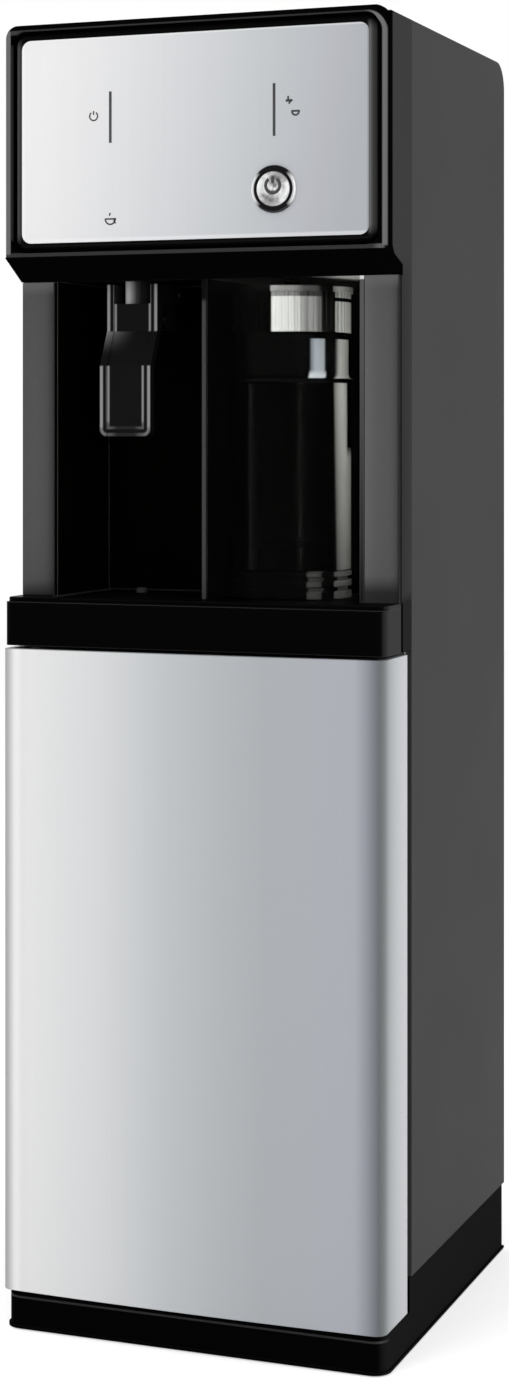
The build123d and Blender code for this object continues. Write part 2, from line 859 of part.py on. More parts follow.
def make_niche_liner():
    """The lining of both bays: side walls, back, ceiling and the wall between the bays."""
    outer = niche_half + niche_wall
    left = bay_end
    right = divider_x + divider_width / 2
    hole_x = web_half + web_gap
    with BuildPart() as liner:
        block((-outer, outer), (y_jamb, y_niche + wall), (z_niche, z_ceiling - seam))
        block((-outer, outer), (y_bevel + seam, y_niche + wall), (z_niche, z_ceiling + wall))
        block((left, outer), (y_bevel + seam, y_bay + wall), (z_niche, z_ceiling + wall))
        block((-niche_half, left), (-casing_depth, y_niche), (0, z_ceiling), Mode.SUBTRACT)
        block((right, niche_half), (-casing_depth, y_bay), (0, z_ceiling), Mode.SUBTRACT)
        block((left, right), (-casing_depth, y_window + seam), (0, z_ceiling), Mode.SUBTRACT)
        block((tap_x - hole_x, tap_x + hole_x),
              (y_nozzle - nozzle_radius - web_gap, y_web + web_length + web_gap),
              (z_ceiling, z_ceiling + wall), Mode.SUBTRACT)
        rod(outlet_radius + web_gap, (tank_x, y_tank, z_ceiling), (0, 0, 1), wall, Mode.SUBTRACT)
        rod(hose_bore + web_gap, (tank_x, y_bay, z_niche + base_height / 2), (0, 1, 0), wall, Mode.SUBTRACT)
    save(liner, "niche_liner")


def make_jambs():
    """The grey trim plates beside the niche."""
    with BuildPart() as jambs:
        for side in (-1, 1):
            edges = sorted(((niche_half + niche_wall) * side, (half_width - jamb_edge) * side))
            block(edges, (y_jamb, y_jamb + jamb_thickness), (z_niche, z_ceiling - seam))
        fillet(jambs.faces().group_by(Axis.Y)[0].edges().filter_by(Axis.Z), sheet)
    save(jambs, "jambs")


def make_tank_window():
    """The tinted window in front of the hot tank."""
    left = divider_x + divider_width / 2
    with BuildPart() as window:
        block((left, niche_half), (y_jamb, y_window), (z_niche, z_ceiling - seam))
    save(window, "tank_window")


def make_window_trim():
    """The bright upright strip along the window's left edge."""
    with BuildPart() as trim:
        block((bay_end, bay_end + divider_width), (y_jamb - trim_proud, y_window), (z_niche, z_ceiling - trim_drop))
        fillet(trim.faces().sort_by(Axis.Y)[0].edges().filter_by(Axis.Z), trim_proud)
    save(trim, "window_trim")


# Hot tank


def ring(outer, inner, bottom, height, mode=Mode.ADD):
    """Add or cut a ring about the tank's axis."""
    with BuildSketch(Plane(origin=(tank_x, y_tank, bottom))) as section:
        Circle(outer)
        if inner > 0:
            Circle(inner, mode=Mode.SUBTRACT)
    extrude(section.sketch, amount=height, mode=mode)


def make_tank_base():
    """The steel base that the glass stands in, with three rings, a port behind and the heater."""
    z_mid = z_niche + base_height / 2
    port = y_bay + wall + barb_length - y_tank
    with BuildPart() as base:
        ring(base_radius - base_step, 0, z_niche, base_height)
        for low, height in base_rings:
            ring(base_radius, 0, z_niche + low, height)
        fillet(base.edges().filter_by(GeomType.CIRCLE).filter_by(lambda e: e.radius == base_radius), sheet)
        rod(hose_bore, (tank_x, y_tank, z_mid), (0, 1, 0), port)
        rod(barb_bore, (tank_x, y_tank, z_mid), (0, 1, 0), port, Mode.SUBTRACT)
        ring(barb_bore, 0, z_mid, base_height, Mode.SUBTRACT)
        for side in (-1, 1):
            rod(heater_radius - sheet, (tank_x + side * heater_ring, y_tank, z_glass), (0, 0, 1), heater_up)
        with BuildSketch(Plane(origin=(tank_x + heater_ring, y_tank, z_glass + heater_up), z_dir=(0, 1, 0))):
            Circle(heater_radius)
        revolve(axis=Axis((tank_x, y_tank, 0), (0, 0, 1)))
    save(base, "tank_base")


def make_tank_glass():
    """The glass vessel: a straight wall, a lip and a neck that flares out to the lip."""
    wall_in = glass_radius - glass_wall
    neck_in = neck_radius - glass_wall
    foot = collar_radius - 2 * sheet
    flare = 3 * (foot - neck_radius)
    with BuildPart() as glass:
        with BuildSketch(Plane(origin=(tank_x, y_tank, 0), x_dir=(1, 0, 0), z_dir=(0, -1, 0))):
            with BuildLine():
                Polyline(
                    (neck_radius, z_neck + flare),
                    (neck_radius, z_gasket),
                    (neck_radius - sheet, z_gasket),
                    (neck_radius - sheet, z_cap),
                    (neck_in, z_cap),
                    (neck_in, z_neck),
                    (wall_in, z_collar),
                    (wall_in, z_glass),
                    (glass_radius, z_glass),
                    (glass_radius, z_collar),
                    (collar_radius - sheet / 2, z_collar),
                )
                ThreePointArc((collar_radius - sheet / 2, z_collar),
                              (collar_radius, (z_collar + z_neck) / 2), (collar_radius - sheet / 2, z_neck))
                Line((collar_radius - sheet / 2, z_neck), (foot, z_neck))
                TangentArc((neck_radius, z_neck + flare), (foot, z_neck), tangent=(0, -1))
            make_face()
        revolve(axis=Axis((tank_x, y_tank, 0), (0, 0, 1)))
    save(glass, "tank_glass")


def make_tank_cap():
    """The ribbed steel cap with its plain rim and the outlet on top."""
    inside = neck_radius - 2 * wall
    with BuildPart() as cap:
        with BuildSketch(Plane(origin=(tank_x, y_tank, z_cap))):
            Circle(cap_radius)
            with PolarLocations(cap_radius + rib_depth, cap_ribs):
                Circle(2 * rib_depth, mode=Mode.SUBTRACT)
        extrude(amount=cap_height)
        ring(rim_radius, 0, z_rim, rim_height)
        fillet(cap.faces().sort_by(Axis.Z)[-1].edges(), sheet)
        ring(inside, 0, z_cap, cap_height + rim_height - wall, Mode.SUBTRACT)
        ring(outlet_radius, 0, z_rim + rim_height, outlet_height - barb_length)
        ring(hose_bore, 0, z_rim + rim_height, outlet_height)
        ring(barb_bore, 0, z_cap, z_outlet - z_cap, Mode.SUBTRACT)
    save(cap, "tank_cap")


# Head and controls


def face_panel(y, half, low, high, corner, depth, mode=Mode.ADD):
    """Add or cut a slab that faces the front, with round corners, between two heights."""
    with BuildSketch(Plane(origin=(0, y, (low + high) / 2), x_dir=(1, 0, 0), z_dir=(0, -1, 0))) as face:
        RectangleRounded(2 * half, high - low, corner)
    extrude(face.sketch, amount=-depth, mode=mode)


def make_head_frame():
    """The gloss black frame round the controls, with the bevel under it and posts for the board."""
    with BuildPart() as frame:
        with BuildSketch(front_plane(y_head)) as face:
            with Locations((0, z_face + face_height / 2)):
                Rectangle(casing_width, face_height)
            fillet(face.vertices().group_by(Axis.Y)[-1], ring_corner)
        extrude(amount=-ring_depth)
        fillet(frame.faces().sort_by(Axis.Y)[0].edges().sort_by(Axis.Z)[1:], ring_edge)
        face_panel(y_head, opening_half, z_opening, z_opening_top, opening_corner, ring_depth, Mode.SUBTRACT)
        block((-opening_half, opening_half), (y_carrier_back, y_ring_back), (z_opening, z_opening_top))
        rod(cup_radius + seam, (bar_x, y_carrier_back, z_button), (0, 1, 0), sheet, Mode.SUBTRACT)
        for x in (-board_post_x, board_post_x):
            for z in (z_button, z_bar + bar_length):
                rod(board_post_radius, (x, y_ring_back, z), (0, 1, 0), y_board - y_ring_back)
        with BuildSketch(side_plane(-half_width)):
            with BuildLine():
                Polyline(
                    (y_head + sheet, z_face),
                    (y_jamb - seam, z_ceiling),
                    (y_bevel, z_ceiling),
                    (y_bevel, z_ceiling + bevel_heel),
                    (y_ring_back, z_face),
                    close=True,
                )
            make_face()
        extrude(amount=casing_width)
    save(frame, "head_frame")


def make_carrier():
    """The black block with rounded edges that carries the silver plate and the button's cup."""
    with BuildPart() as carrier:
        face_panel(y_carrier, carrier_half, z_carrier, z_carrier_top, carrier_corner, carrier_thickness)
        fillet(carrier.faces().sort_by(Axis.Y)[0].edges(), carrier_edge)
        rod(cup_radius, (bar_x, y_carrier_back, z_button), (0, 1, 0), button_cup + cup_floor)
        rod(barrel_hole, (bar_x, y_carrier, z_button), (0, 1, 0), carrier_thickness + button_cup,
            Mode.SUBTRACT)
        rod(stem_hole, (bar_x, y_cup_floor, z_button), (0, 1, 0), cup_floor, Mode.SUBTRACT)
        face_panel(y_carrier, plate_half, z_carrier + plate_border_end, z_carrier_top - plate_border_end,
                   plate_corner, plate_thickness - plate_proud, Mode.SUBTRACT)
        for side in (-1, 1):
            block(bar_span(side), (y_carrier, y_plate + bar_depth), (z_bar, z_bar + bar_length),
                  Mode.SUBTRACT)
    save(carrier, "panel_carrier")


def bar_span(side):
    """Low and high x of a light bar."""
    return (side * bar_x - bar_width / 2, side * bar_x + bar_width / 2)


def make_control_plate():
    """The silver plate, pierced for the light bars and the push button."""
    low = z_carrier + plate_border_end + plate_fit
    high = z_carrier_top - plate_border_end - plate_fit
    with BuildPart() as plate:
        face_panel(y_plate, plate_half - plate_fit, low, high, plate_corner, plate_thickness)
        rod(barrel_hole, (bar_x, y_plate, z_button), (0, 1, 0), plate_thickness, Mode.SUBTRACT)
        for side in (-1, 1):
            block(bar_span(side), (y_plate, y_plate + plate_thickness), (z_bar, z_bar + bar_length),
                  Mode.SUBTRACT)
    save(plate, "control_plate")


def make_light_bars():
    """Two slim light bars, flush with the silver plate."""
    with BuildPart() as bars:
        for side in (-1, 1):
            block(bar_span(side), (y_plate, y_plate + bar_depth), (z_bar, z_bar + bar_length))
    save(bars, "light_bars")


def button_disc(radius, near, far, mode=Mode.ADD):
    """Add or cut a disc about the push button's axis, from a near to a far y."""
    rod(radius, (bar_x, near, z_button), (0, 1, 0), far - near, mode)


def make_button_bezel():
    """The chrome ring round the push button, whose barrel stops the button."""
    with BuildPart() as bezel:
        button_disc(bezel_radius, y_bezel, y_plate)
        fillet(bezel.faces().sort_by(Axis.Y)[0].edges(), bezel_edge)
        button_disc(bezel_barrel, y_plate, y_cap_flange - seam)
        button_disc(bezel_bore, y_bezel, y_cap_flange, Mode.SUBTRACT)
    save(bezel, "button_bezel")


def make_button_cap():
    """The push button, kept in by a flange behind the bezel and with a stem behind."""
    with BuildPart() as cap:
        button_disc(bezel_bore - cap_gap, y_cap, y_cap_flange)
        fillet(cap.faces().sort_by(Axis.Y)[0].edges(), sheet)
        button_disc(cap_flange, y_cap_flange, y_cap_back)
        button_disc(stem_radius, y_cap_back, y_stem_end)
    save(cap, "button_cap")


def coil(start, radius, wire, turns, length):
    """A coil spring as one round wire, from a point towards the back."""
    rise = length - 2 * wire
    place = Plane(origin=start, x_dir=(1, 0, 0), z_dir=(0, 1, 0)).offset(wire)
    path = place * Helix(rise / turns, rise, radius)
    with BuildPart() as spring:
        with BuildSketch(Plane(origin=path @ 0, z_dir=path % 0)):
            Circle(wire / 2)
        sweep(path=path)
    return spring


def make_button_spring():
    """The coil that pushes the button back out."""
    start = (bar_x, y_cap_back, z_button)
    spring = coil(start, spring_radius, spring_wire, spring_turns, y_cup_floor - y_cap_back)
    save(spring, "button_spring")


def make_control_board():
    """The circuit board behind the controls, with the button's switch and the connectors."""
    low = z_button - 2 * switch_width
    half = switch_width / 2
    with BuildPart() as board:
        block((-board_half, board_half), (y_board, y_board + board_thickness),
              (low, z_bar + bar_length + half))
        block((bar_x - half, bar_x + half), (y_switch, y_board), (z_button - half, z_button + half))
        for i in range(4):
            x = -board_half + switch_width * (1 + 2 * i)
            block((x, x + switch_width), (y_board + board_thickness, y_board + board_thickness + switch_depth),
                  (low + switch_depth, low + switch_depth + switch_width))
    save(board, "control_board")


# Tap


def make_tap_body():
    """The block above the nozzle, with a web below it for the lever's pin and the plunger."""
    low = z_ceiling + wall
    half = web_half + block_margin
    port_z = low + block_height / 2
    with BuildPart() as body:
        block((tap_x - half, tap_x + half),
              (y_nozzle - nozzle_radius - block_margin, y_web + web_length + block_margin),
              (low, low + block_height))
        block((tap_x - web_half, tap_x + web_half), (y_web, y_web + web_length), (z_ceiling - web_drop, low))
        for x in (tap_x - barb_x, tap_x + barb_x):
            rod(hose_bore, (x, y_nozzle, low + block_height), (0, 0, 1), barb_length)
            rod(barb_bore, (x, y_nozzle, port_z), (0, 0, 1), block_height + barb_length, Mode.SUBTRACT)
        rod(barb_bore, (tap_x - barb_x, y_nozzle, port_z), (1, 0, 0), 2 * barb_x, Mode.SUBTRACT)
        rod(nozzle_bore, (tap_x, y_nozzle, low), (0, 0, 1), block_height / 2, Mode.SUBTRACT)
        rod(lever_pin_radius, (tap_x - web_half, y_lever_pin, z_lever_pin), (1, 0, 0), 2 * web_half,
            Mode.SUBTRACT)
        rod(plunger_radius + pin_clearance, (tap_x + plunger_x, y_web, z_plunger), (0, 1, 0), web_length,
            Mode.SUBTRACT)
    save(body, "tap_body")


def make_tap_nozzle():
    """The chrome nozzle: a thick collar under the ceiling and a slimmer spout."""
    with BuildPart() as nozzle:
        rod(nozzle_radius, (tap_x, y_nozzle, z_ceiling - collar_drop), (0, 0, 1), collar_drop + wall)
        fillet(nozzle.faces().sort_by(Axis.Z)[0].edges(), sheet)
        rod(spout_radius, (tap_x, y_nozzle, z_ceiling - spout_drop), (0, 0, 1), spout_drop - collar_drop)
        fillet(nozzle.faces().sort_by(Axis.Z)[0].edges(), sheet)
        rod(nozzle_bore, (tap_x, y_nozzle, z_ceiling - spout_drop), (0, 0, 1), spout_drop + wall,
            Mode.SUBTRACT)
    save(nozzle, "tap_nozzle")


def lever_profile(recess, thickness):
    """Points down the lever's front and up its back, for a recess behind the rails and a thickness."""
    front = [
        (y_lever + recess, z_ceiling - slope_top),
        (y_paddle + recess, z_ceiling - slope_bottom),
        (y_paddle + recess, z_ceiling - lever_drop),
    ]
    return front + [(y + thickness, z) for y, z in reversed(front)]


def make_tap_lever():
    """The push lever: two arms with raised rails, a sloped middle and a flat paddle."""
    inner = lever_half - rail_width
    top = z_ceiling - lever_top
    plate_top = z_ceiling - lever_plate_top
    arm_low = top - lever_arm_height
    arm_back = y_lever_pin + 2 * wall
    plate_back = y_lever + rail_proud + lever_wall
    with BuildPart() as lever:
        with BuildSketch(side_plane(tap_x - lever_half)):
            with BuildLine():
                Polyline((y_lever, top), *lever_profile(0, rail_depth),
                         (y_lever + rail_depth + 2 * wall, arm_low - wall), (arm_back, arm_low),
                         (arm_back, top), close=True)
            make_face()
        extrude(amount=2 * lever_half)
        block((tap_x - inner, tap_x + inner), (-casing_depth, 0), (0, z_top), Mode.SUBTRACT)
        with BuildSketch(side_plane(tap_x - inner)):
            with BuildLine():
                Polyline((y_lever + rail_proud, plate_top), *lever_profile(rail_proud, lever_wall),
                         (plate_back, plate_top), close=True)
            make_face()
        extrude(amount=2 * inner)
        bottom = lever.edges().filter_by(Axis.Y).group_by(Axis.Z)[0].sort_by(Axis.X)
        fillet([bottom[0], bottom[-1]], paddle_corner - sheet)
        rod(lever_pin_radius + pin_clearance, (tap_x - lever_half, y_lever_pin, z_lever_pin), (1, 0, 0),
            2 * lever_half, Mode.SUBTRACT)
    save(lever, "tap_lever")


def make_lever_pin():
    """The pin that the lever turns on, fixed in the tap body."""
    with BuildPart() as pin:
        rod(lever_pin_radius, (tap_x - lever_half, y_lever_pin, z_lever_pin), (1, 0, 0), 2 * lever_half)
    save(pin, "lever_pin")


def make_plunger():
    """The plunger that the lever pushes in, with a collar for its spring."""
    x = tap_x + plunger_x
    with BuildPart() as plunger:
        rod(plunger_radius, (x, y_plunger, z_plunger), (0, 1, 0), plunger_length)
        rod(plunger_collar, (x, y_collar - collar_width, z_plunger), (0, 1, 0), collar_width)
    save(plunger, "tap_plunger")


def make_plunger_spring():
    """The coil that pushes the plunger and the lever back."""
    start = (tap_x + plunger_x, y_collar, z_plunger)
    save(coil(start, plunger_coil, plunger_wire, plunger_turns, y_web - y_collar), "plunger_spring")


# Machine bay


def upright(x, y, radius, bottom, height, mode=Mode.ADD):
    """Add or cut an upright cylinder."""
    rod(radius, (x, y, bottom), (0, 0, 1), height, mode)


def make_partition():
    """The sheet between the filter cabinet and the machine bay, with a foot and three hose holes."""
    half = half_width - sheet - flange_width - seam
    with BuildPart() as partition:
        block((-half, half), (y_partition, y_partition + sheet), (sill_height, z_deck - seam))
        block((-half, half), (y_partition, y_partition + flange_width), (sill_height, sill_height + sheet))
        for x in head_ports():
            rod(hose_bore, (x, y_partition, z_port), (0, 1, 0), sheet, Mode.SUBTRACT)
    save(partition, "partition")


def make_tank_shelf():
    """The shelf across the machine bay that carries the cold tank, notched for a hose."""
    half = half_width - sheet - seam
    rear = y_back - 4 * wall
    with BuildPart() as shelf:
        block((-half, half), (y_partition, rear), (shelf_height, z_shelf))
        for side in (-1, 1):
            ends = sorted((side * half, side * (half - shelf_sheet)))
            block(ends, (y_partition, rear), (shelf_height - flange_width, shelf_height))
        block((cold_feed_x - flange_width, cold_feed_x + flange_width),
              (y_partition, y_hose + flange_width), (shelf_height, z_shelf), Mode.SUBTRACT)
        upright(suction_x, suction_y, pipe_radius, shelf_height, shelf_sheet, Mode.SUBTRACT)
    save(shelf, "tank_shelf")


def cold_ports():
    """X and y of the two barbs in the cold tank's top."""
    return [(tap_x - barb_x, cold_y - cold_radius / 2), (cold_x + cold_radius / 2, cold_y)]


def make_cold_tank():
    """The sealed steel pot for chilled water, with two barbs and a dip tube."""
    inside = z_cold + cold_wall
    top = z_cold + cold_height
    with BuildPart() as tank:
        upright(cold_x, cold_y, cold_radius, z_cold, cold_height)
        fillet(tank.faces().sort_by(Axis.Z)[-1].edges(), foam_wall)
        upright(cold_x, cold_y, cold_radius - cold_wall, inside, cold_height - foam_wall, Mode.SUBTRACT)
        for x, y in cold_ports():
            upright(x, y, hose_bore, top - cold_wall, foam_wall + barb_length + cold_wall)
            upright(x, y, barb_bore, inside, cold_height + foam_wall + barb_length, Mode.SUBTRACT)
    save(tank, "cold_tank")


def make_foam():
    """The foam jacket round the cold tank, with a floor and a cover."""
    with BuildPart() as foam:
        upright(cold_x, cold_y, cold_radius + foam_wall, z_shelf, cold_height + 2 * foam_wall)
        upright(cold_x, cold_y, cold_radius, z_cold, cold_height, Mode.SUBTRACT)
        upright(suction_x, suction_y, pipe_radius, z_shelf, foam_wall, Mode.SUBTRACT)
        for x, y in cold_ports():
            upright(x, y, hose_bore, z_cold + cold_height, foam_wall, Mode.SUBTRACT)
    save(foam, "cold_tank_foam")


def mount_places():
    """Centres of the compressor's four rubber mounts."""
    x = mount_spread
    y = mount_spread - mount_radius
    return [(compressor_x + i * x, compressor_y + j * y) for i in (-1, 1) for j in (-1, 1)]


def bent_rod(points, radius, bend):
    """Add a round rod along straight runs joined by bends."""
    with BuildLine() as path:
        FilletPolyline(*points, radius=bend)
    with BuildSketch(Plane(origin=path.line @ 0, z_dir=path.line % 0)) as section:
        Circle(radius)
    sweep(section.sketch, path=path.line)


def make_compressor():
    """The sealed compressor: a domed can round its motor, with a foot plate and two pipes."""
    low = sill_height + mount_height
    plate = 2 * sheet
    inside = compressor_x - compressor_radius / 2
    with BuildPart() as cavity:
        upright(compressor_x, compressor_y, compressor_radius - can_wall, low + can_wall,
                compressor_height - 2 * can_wall)
        fillet(cavity.faces().sort_by(Axis.Z)[-1].edges(), compressor_dome - can_wall)
    with BuildPart() as compressor:
        upright(compressor_x, compressor_y, compressor_radius, low, compressor_height)
        fillet(compressor.faces().sort_by(Axis.Z)[-1].edges(), compressor_dome)
        with BuildSketch(Plane(origin=(compressor_x, compressor_y, low))):
            RectangleRounded(2 * (mount_spread + mount_radius), 2 * mount_spread, mount_radius)
        extrude(amount=plate)
        for x, y in mount_places():
            upright(x, y, mount_neck, low, plate, Mode.SUBTRACT)
        add(cavity.part, mode=Mode.SUBTRACT)
        upright(compressor_x, compressor_y, motor_radius, low, motor_height)
        rod(pipe_radius, (inside, discharge_y, pipe_z), (-1, 0, 0), inside - discharge_x)
        bent_rod([(inside, suction_y, pipe_z), (suction_x, suction_y, pipe_z),
                  (suction_x, suction_y, z_cold)], pipe_radius, pipe_bend)
    save(compressor, "compressor")


def make_mounts():
    """Rubber mounts, each with a neck and a head through the compressor's foot plate."""
    with BuildPart() as mounts:
        for x, y in mount_places():
            upright(x, y, mount_radius, sill_height, mount_height)
            upright(x, y, mount_neck, sill_height + mount_height, 2 * sheet + wall)
    save(mounts, "compressor_mounts")


def condenser_route():
    """Corners of the condenser's tube, from the end of its first pass to the end of its last."""
    half = condenser_half
    route = []
    for i in range(condenser_passes):
        z = condenser_bottom + i * condenser_pitch
        side = half if i % 2 == 0 else -half
        route += [(-side, condenser_y, z), (side, condenser_y, z)]
    return route


def make_condenser():
    """The condenser: one tube in level passes, with upright wires on it and stand-offs behind."""
    bend = condenser_pitch / 2 - sheet
    half = condenser_half
    height = (condenser_passes - 1) * condenser_pitch
    reach = half - condenser_pitch
    with BuildPart() as condenser:
        bent_rod(condenser_route(), pipe_radius, bend)
        bent_rod([(discharge_x, discharge_y, pipe_z), (discharge_turn_x, discharge_y, pipe_z),
                  (discharge_turn_x, condenser_y, pipe_z), (discharge_turn_x, condenser_y, condenser_bottom),
                  (-half, condenser_y, condenser_bottom)], pipe_radius, pipe_bend)
        for x in (-reach, reach):
            for z in (condenser_bottom + condenser_pitch, condenser_bottom + height - condenser_pitch):
                rod(pipe_radius - sheet, (x, condenser_y, z), (0, 1, 0), y_back - 2 * sheet - condenser_y)
        for i in range(fin_count):
            x = 2 * reach * (i / (fin_count - 1) - 0.5) + fin_shift
            upright(x, condenser_y - fin_depth, fin_radius, condenser_bottom - bend, height + 2 * bend)
    save(condenser, "condenser")


# Water side


def filter_places():
    """X of each filter cartridge."""
    return [filter_spacing * (i - (filter_count - 1) / 2) for i in range(filter_count)]


def head_ports():
    """X of the three ports behind the filter head: supply, hot tank and cold tank."""
    return (supply_x, tank_x, cold_feed_x)


def make_filter_head():
    """The manifold that the cartridges twist into, hung on the partition, with ports behind."""
    half = filter_spacing * (filter_count - 1) / 2 + filter_radius
    span = (-half, half)
    top = z_head + head_block
    rear = filter_y + head_block / 2
    with BuildPart() as head:
        block(span, (rear - head_block, rear), (z_head, top))
        block(span, (filter_y, y_partition), (top - wall, top))
        block(span, (y_partition - wall, y_partition), (top - wall, top + flange_width))
        for x in filter_places():
            upright(x, filter_y, neck_pin + pin_clearance, z_head, head_block / 2, Mode.SUBTRACT)
        for x in head_ports():
            rod(hose_bore, (x, rear, z_port), (0, 1, 0), y_hose - hose_bend - rear)
            rod(barb_bore, (x, filter_y, z_port), (0, 1, 0), y_hose - hose_bend - filter_y, Mode.SUBTRACT)
    save(head, "filter_head")


def make_filter(x, name):
    """A filter cartridge: a can with a domed foot, a ribbed grip and a neck."""
    with BuildPart() as cartridge:
        upright(x, filter_y, filter_radius, filter_bottom, filter_length)
        fillet(cartridge.faces().sort_by(Axis.Z)[0].edges(), filter_radius / 2)
        chamfer(cartridge.faces().sort_by(Axis.Z)[-1].edges(), filter_radius / 4)
        with BuildSketch(Plane(origin=(x, filter_y, filter_bottom + filter_length - grip_drop))):
            with PolarLocations(filter_radius, grip_ribs):
                Circle(wall / 2)
        extrude(amount=grip_height)
        upright(x, filter_y, neck_pin, filter_bottom + filter_length, head_block / 2 - sheet)
    save(cartridge, name)


def hose(points):
    """Add a hose along bends, pushed over the barbs at its ends."""
    with BuildLine() as path:
        FilletPolyline(*points, radius=hose_bend)
    with BuildSketch(Plane(origin=path.line @ 0, z_dir=path.line % 0)) as section:
        Circle(hose_bore + hose_wall)
        Circle(hose_bore, mode=Mode.SUBTRACT)
    sweep(section.sketch, path=path.line)


def make_hoses():
    """The hoses from the inlet valve to the filters, and on to the tanks and the tap."""
    lead = barb_length - sheet
    port_end = y_hose - hose_bend - lead
    valve_end = y_fitting - fitting_length - valve_depth - sheet
    base_z = z_niche + base_height / 2
    cold_out, cold_in = cold_ports()
    cold_end = z_cold + cold_height + foam_wall + sheet
    high = cold_end + lead + 2 * hose_bend
    tap_end = z_ceiling + wall + block_height + sheet
    loop = z_outlet + 2 * hose_bend
    with BuildPart() as hoses:
        hose([(supply_x, valve_end, service_z), (supply_x, y_hose, service_z),
              (supply_x, y_hose, z_port), (supply_x, port_end, z_port)])
        hose([(tank_x, port_end, z_port), (tank_x, y_hose, z_port), (tank_x, y_hose, base_z),
              (tank_x, y_bay + wall + sheet, base_z)])
        hose([(cold_feed_x, port_end, z_port), (cold_feed_x, y_hose, z_port), (cold_feed_x, y_hose, high),
              (*cold_in, high), (*cold_in, cold_end)])
        hose([(*cold_out, cold_end), (*cold_out, high), (cold_out[0], y_nozzle, high),
              (cold_out[0], y_nozzle, tap_end)])
        hose([(tank_x, y_tank, z_outlet - lead), (tank_x, y_tank, loop), (tap_x + barb_x, y_nozzle, loop),
              (tap_x + barb_x, y_nozzle, tap_end)])
    save(hoses, "hoses")


# Service recess and rear switches


def make_service_recess():
    """The moulded recess in the back for the water and cable fittings."""
    back = y_back - sheet
    x = (recess_x[0] - recess_lip, recess_x[1] + recess_lip)
    z = (recess_z[0] - recess_lip, recess_z[1] + recess_lip)
    with BuildPart() as recess:
        block(recess_x, (y_recess - recess_wall, back), recess_z)
        block(x, (back, y_back - seam), z)
        block((recess_x[0] + recess_wall, recess_x[1] - recess_wall), (y_recess, y_back),
              (recess_z[0] + recess_wall, recess_z[1] - recess_wall), Mode.SUBTRACT)
        for centre, radius in service_holes():
            rod(radius, (centre, y_recess - recess_wall, service_z), (0, 1, 0), recess_wall, Mode.SUBTRACT)
    save(recess, "service_recess")


def service_holes():
    """X and radius of each fitting's hole in the recess."""
    holes = [(supply_x, fitting_radius), (gland_x, gland_radius)]
    return holes + [(x, drain_radius) for x in drain_x]


def make_bulkhead(x, radius, bore, bore_depth):
    """Add a bulkhead fitting on the recess, with a nut behind it and a bore from its outer end."""
    inside = y_recess - recess_wall
    rod(radius, (x, y_fitting, service_z), (0, -1, 0), fitting_length)
    with BuildSketch(Plane(origin=(x, inside, service_z), z_dir=(0, -1, 0))) as nut:
        RegularPolygon(radius + wall, 6)
    extrude(nut.sketch, amount=nut_width)
    rod(bore, (x, y_fitting, service_z), (0, -1, 0), bore_depth, Mode.SUBTRACT)


def make_water_ports():
    """The push-in fitting for the water tube, and a drain stub for each tank."""
    with BuildPart() as ports:
        make_bulkhead(supply_x, fitting_radius, fitting_bore, fitting_depth)
        for x in drain_x:
            make_bulkhead(x, drain_radius, drain_bore, fitting_length)
    save(ports, "water_ports")


def make_cord_gland():
    """The clamping gland for the cable."""
    with BuildPart() as gland:
        make_bulkhead(gland_x, gland_radius, gland_bore, fitting_length)
    save(gland, "cord_gland")


def make_drain_cap(x, name):
    """A screw cap with a ribbed grip, over a drain stub."""
    outer = y_fitting + drain_cap_gap + drain_cap_end
    with BuildPart() as cap:
        with BuildSketch(Plane(origin=(x, outer, service_z), z_dir=(0, -1, 0))):
            Circle(drain_cap_radius)
            with PolarLocations(drain_cap_radius + rib_depth / 2, 2 * grip_ribs):
                Circle(rib_depth, mode=Mode.SUBTRACT)
        extrude(amount=drain_cap_length)
        rod(drain_radius + drain_cap_gap, (x, outer - drain_cap_end, service_z), (0, -1, 0),
            drain_cap_length - drain_cap_end, Mode.SUBTRACT)
    save(cap, name)


def make_inlet_valve():
    """The solenoid valve behind the inlet fitting, with its coil on top and a barb in front."""
    rear = y_fitting - fitting_length
    front = rear - valve_depth
    half = fitting_radius
    with BuildPart() as valve:
        block((supply_x - half, supply_x + half), (front, rear), (service_z - half, service_z + half))
        upright(supply_x, rear - valve_depth / 2, half, service_z + half, 2 * half)
        rod(hose_bore, (supply_x, front, service_z), (0, -1, 0), barb_length)
        rod(barb_bore, (supply_x, front, service_z), (0, -1, 0), barb_length, Mode.SUBTRACT)
    save(valve, "inlet_valve")


def rocker_places():
    """X of each rear switch's rocker."""
    return [rocker_x - rocker_pitch / 2, rocker_x + rocker_pitch / 2]


def make_switch_housing():
    """The housing of the two rear switches, with a pocket and pivot holes for each rocker."""
    back = y_back - seam
    lip = (housing_width + recess_lip, housing_height + recess_lip)
    with BuildPart() as housing:
        block((rocker_x - housing_width / 2, rocker_x + housing_width / 2), (back - housing_depth, back),
              (rocker_z - housing_height / 2, rocker_z + housing_height / 2))
        block((rocker_x - lip[0] / 2, rocker_x + lip[0] / 2), (y_back - sheet, back),
              (rocker_z - lip[1] / 2, rocker_z + lip[1] / 2))
        for x in rocker_places():
            half = rocker_width / 2 + rocker_gap
            reach = half + rocker_pin_reach
            block((x - half, x + half), (y_rocker - rocker_depth - 2 * wall, back),
                  (rocker_z - rocker_height / 2 - 4 * rocker_gap, rocker_z + rocker_height / 2 + 4 * rocker_gap),
                  Mode.SUBTRACT)
            rod(rocker_pin + pin_clearance, (x - reach, y_rocker, rocker_z), (1, 0, 0), 2 * reach,
                Mode.SUBTRACT)
    save(housing, "switch_housing")


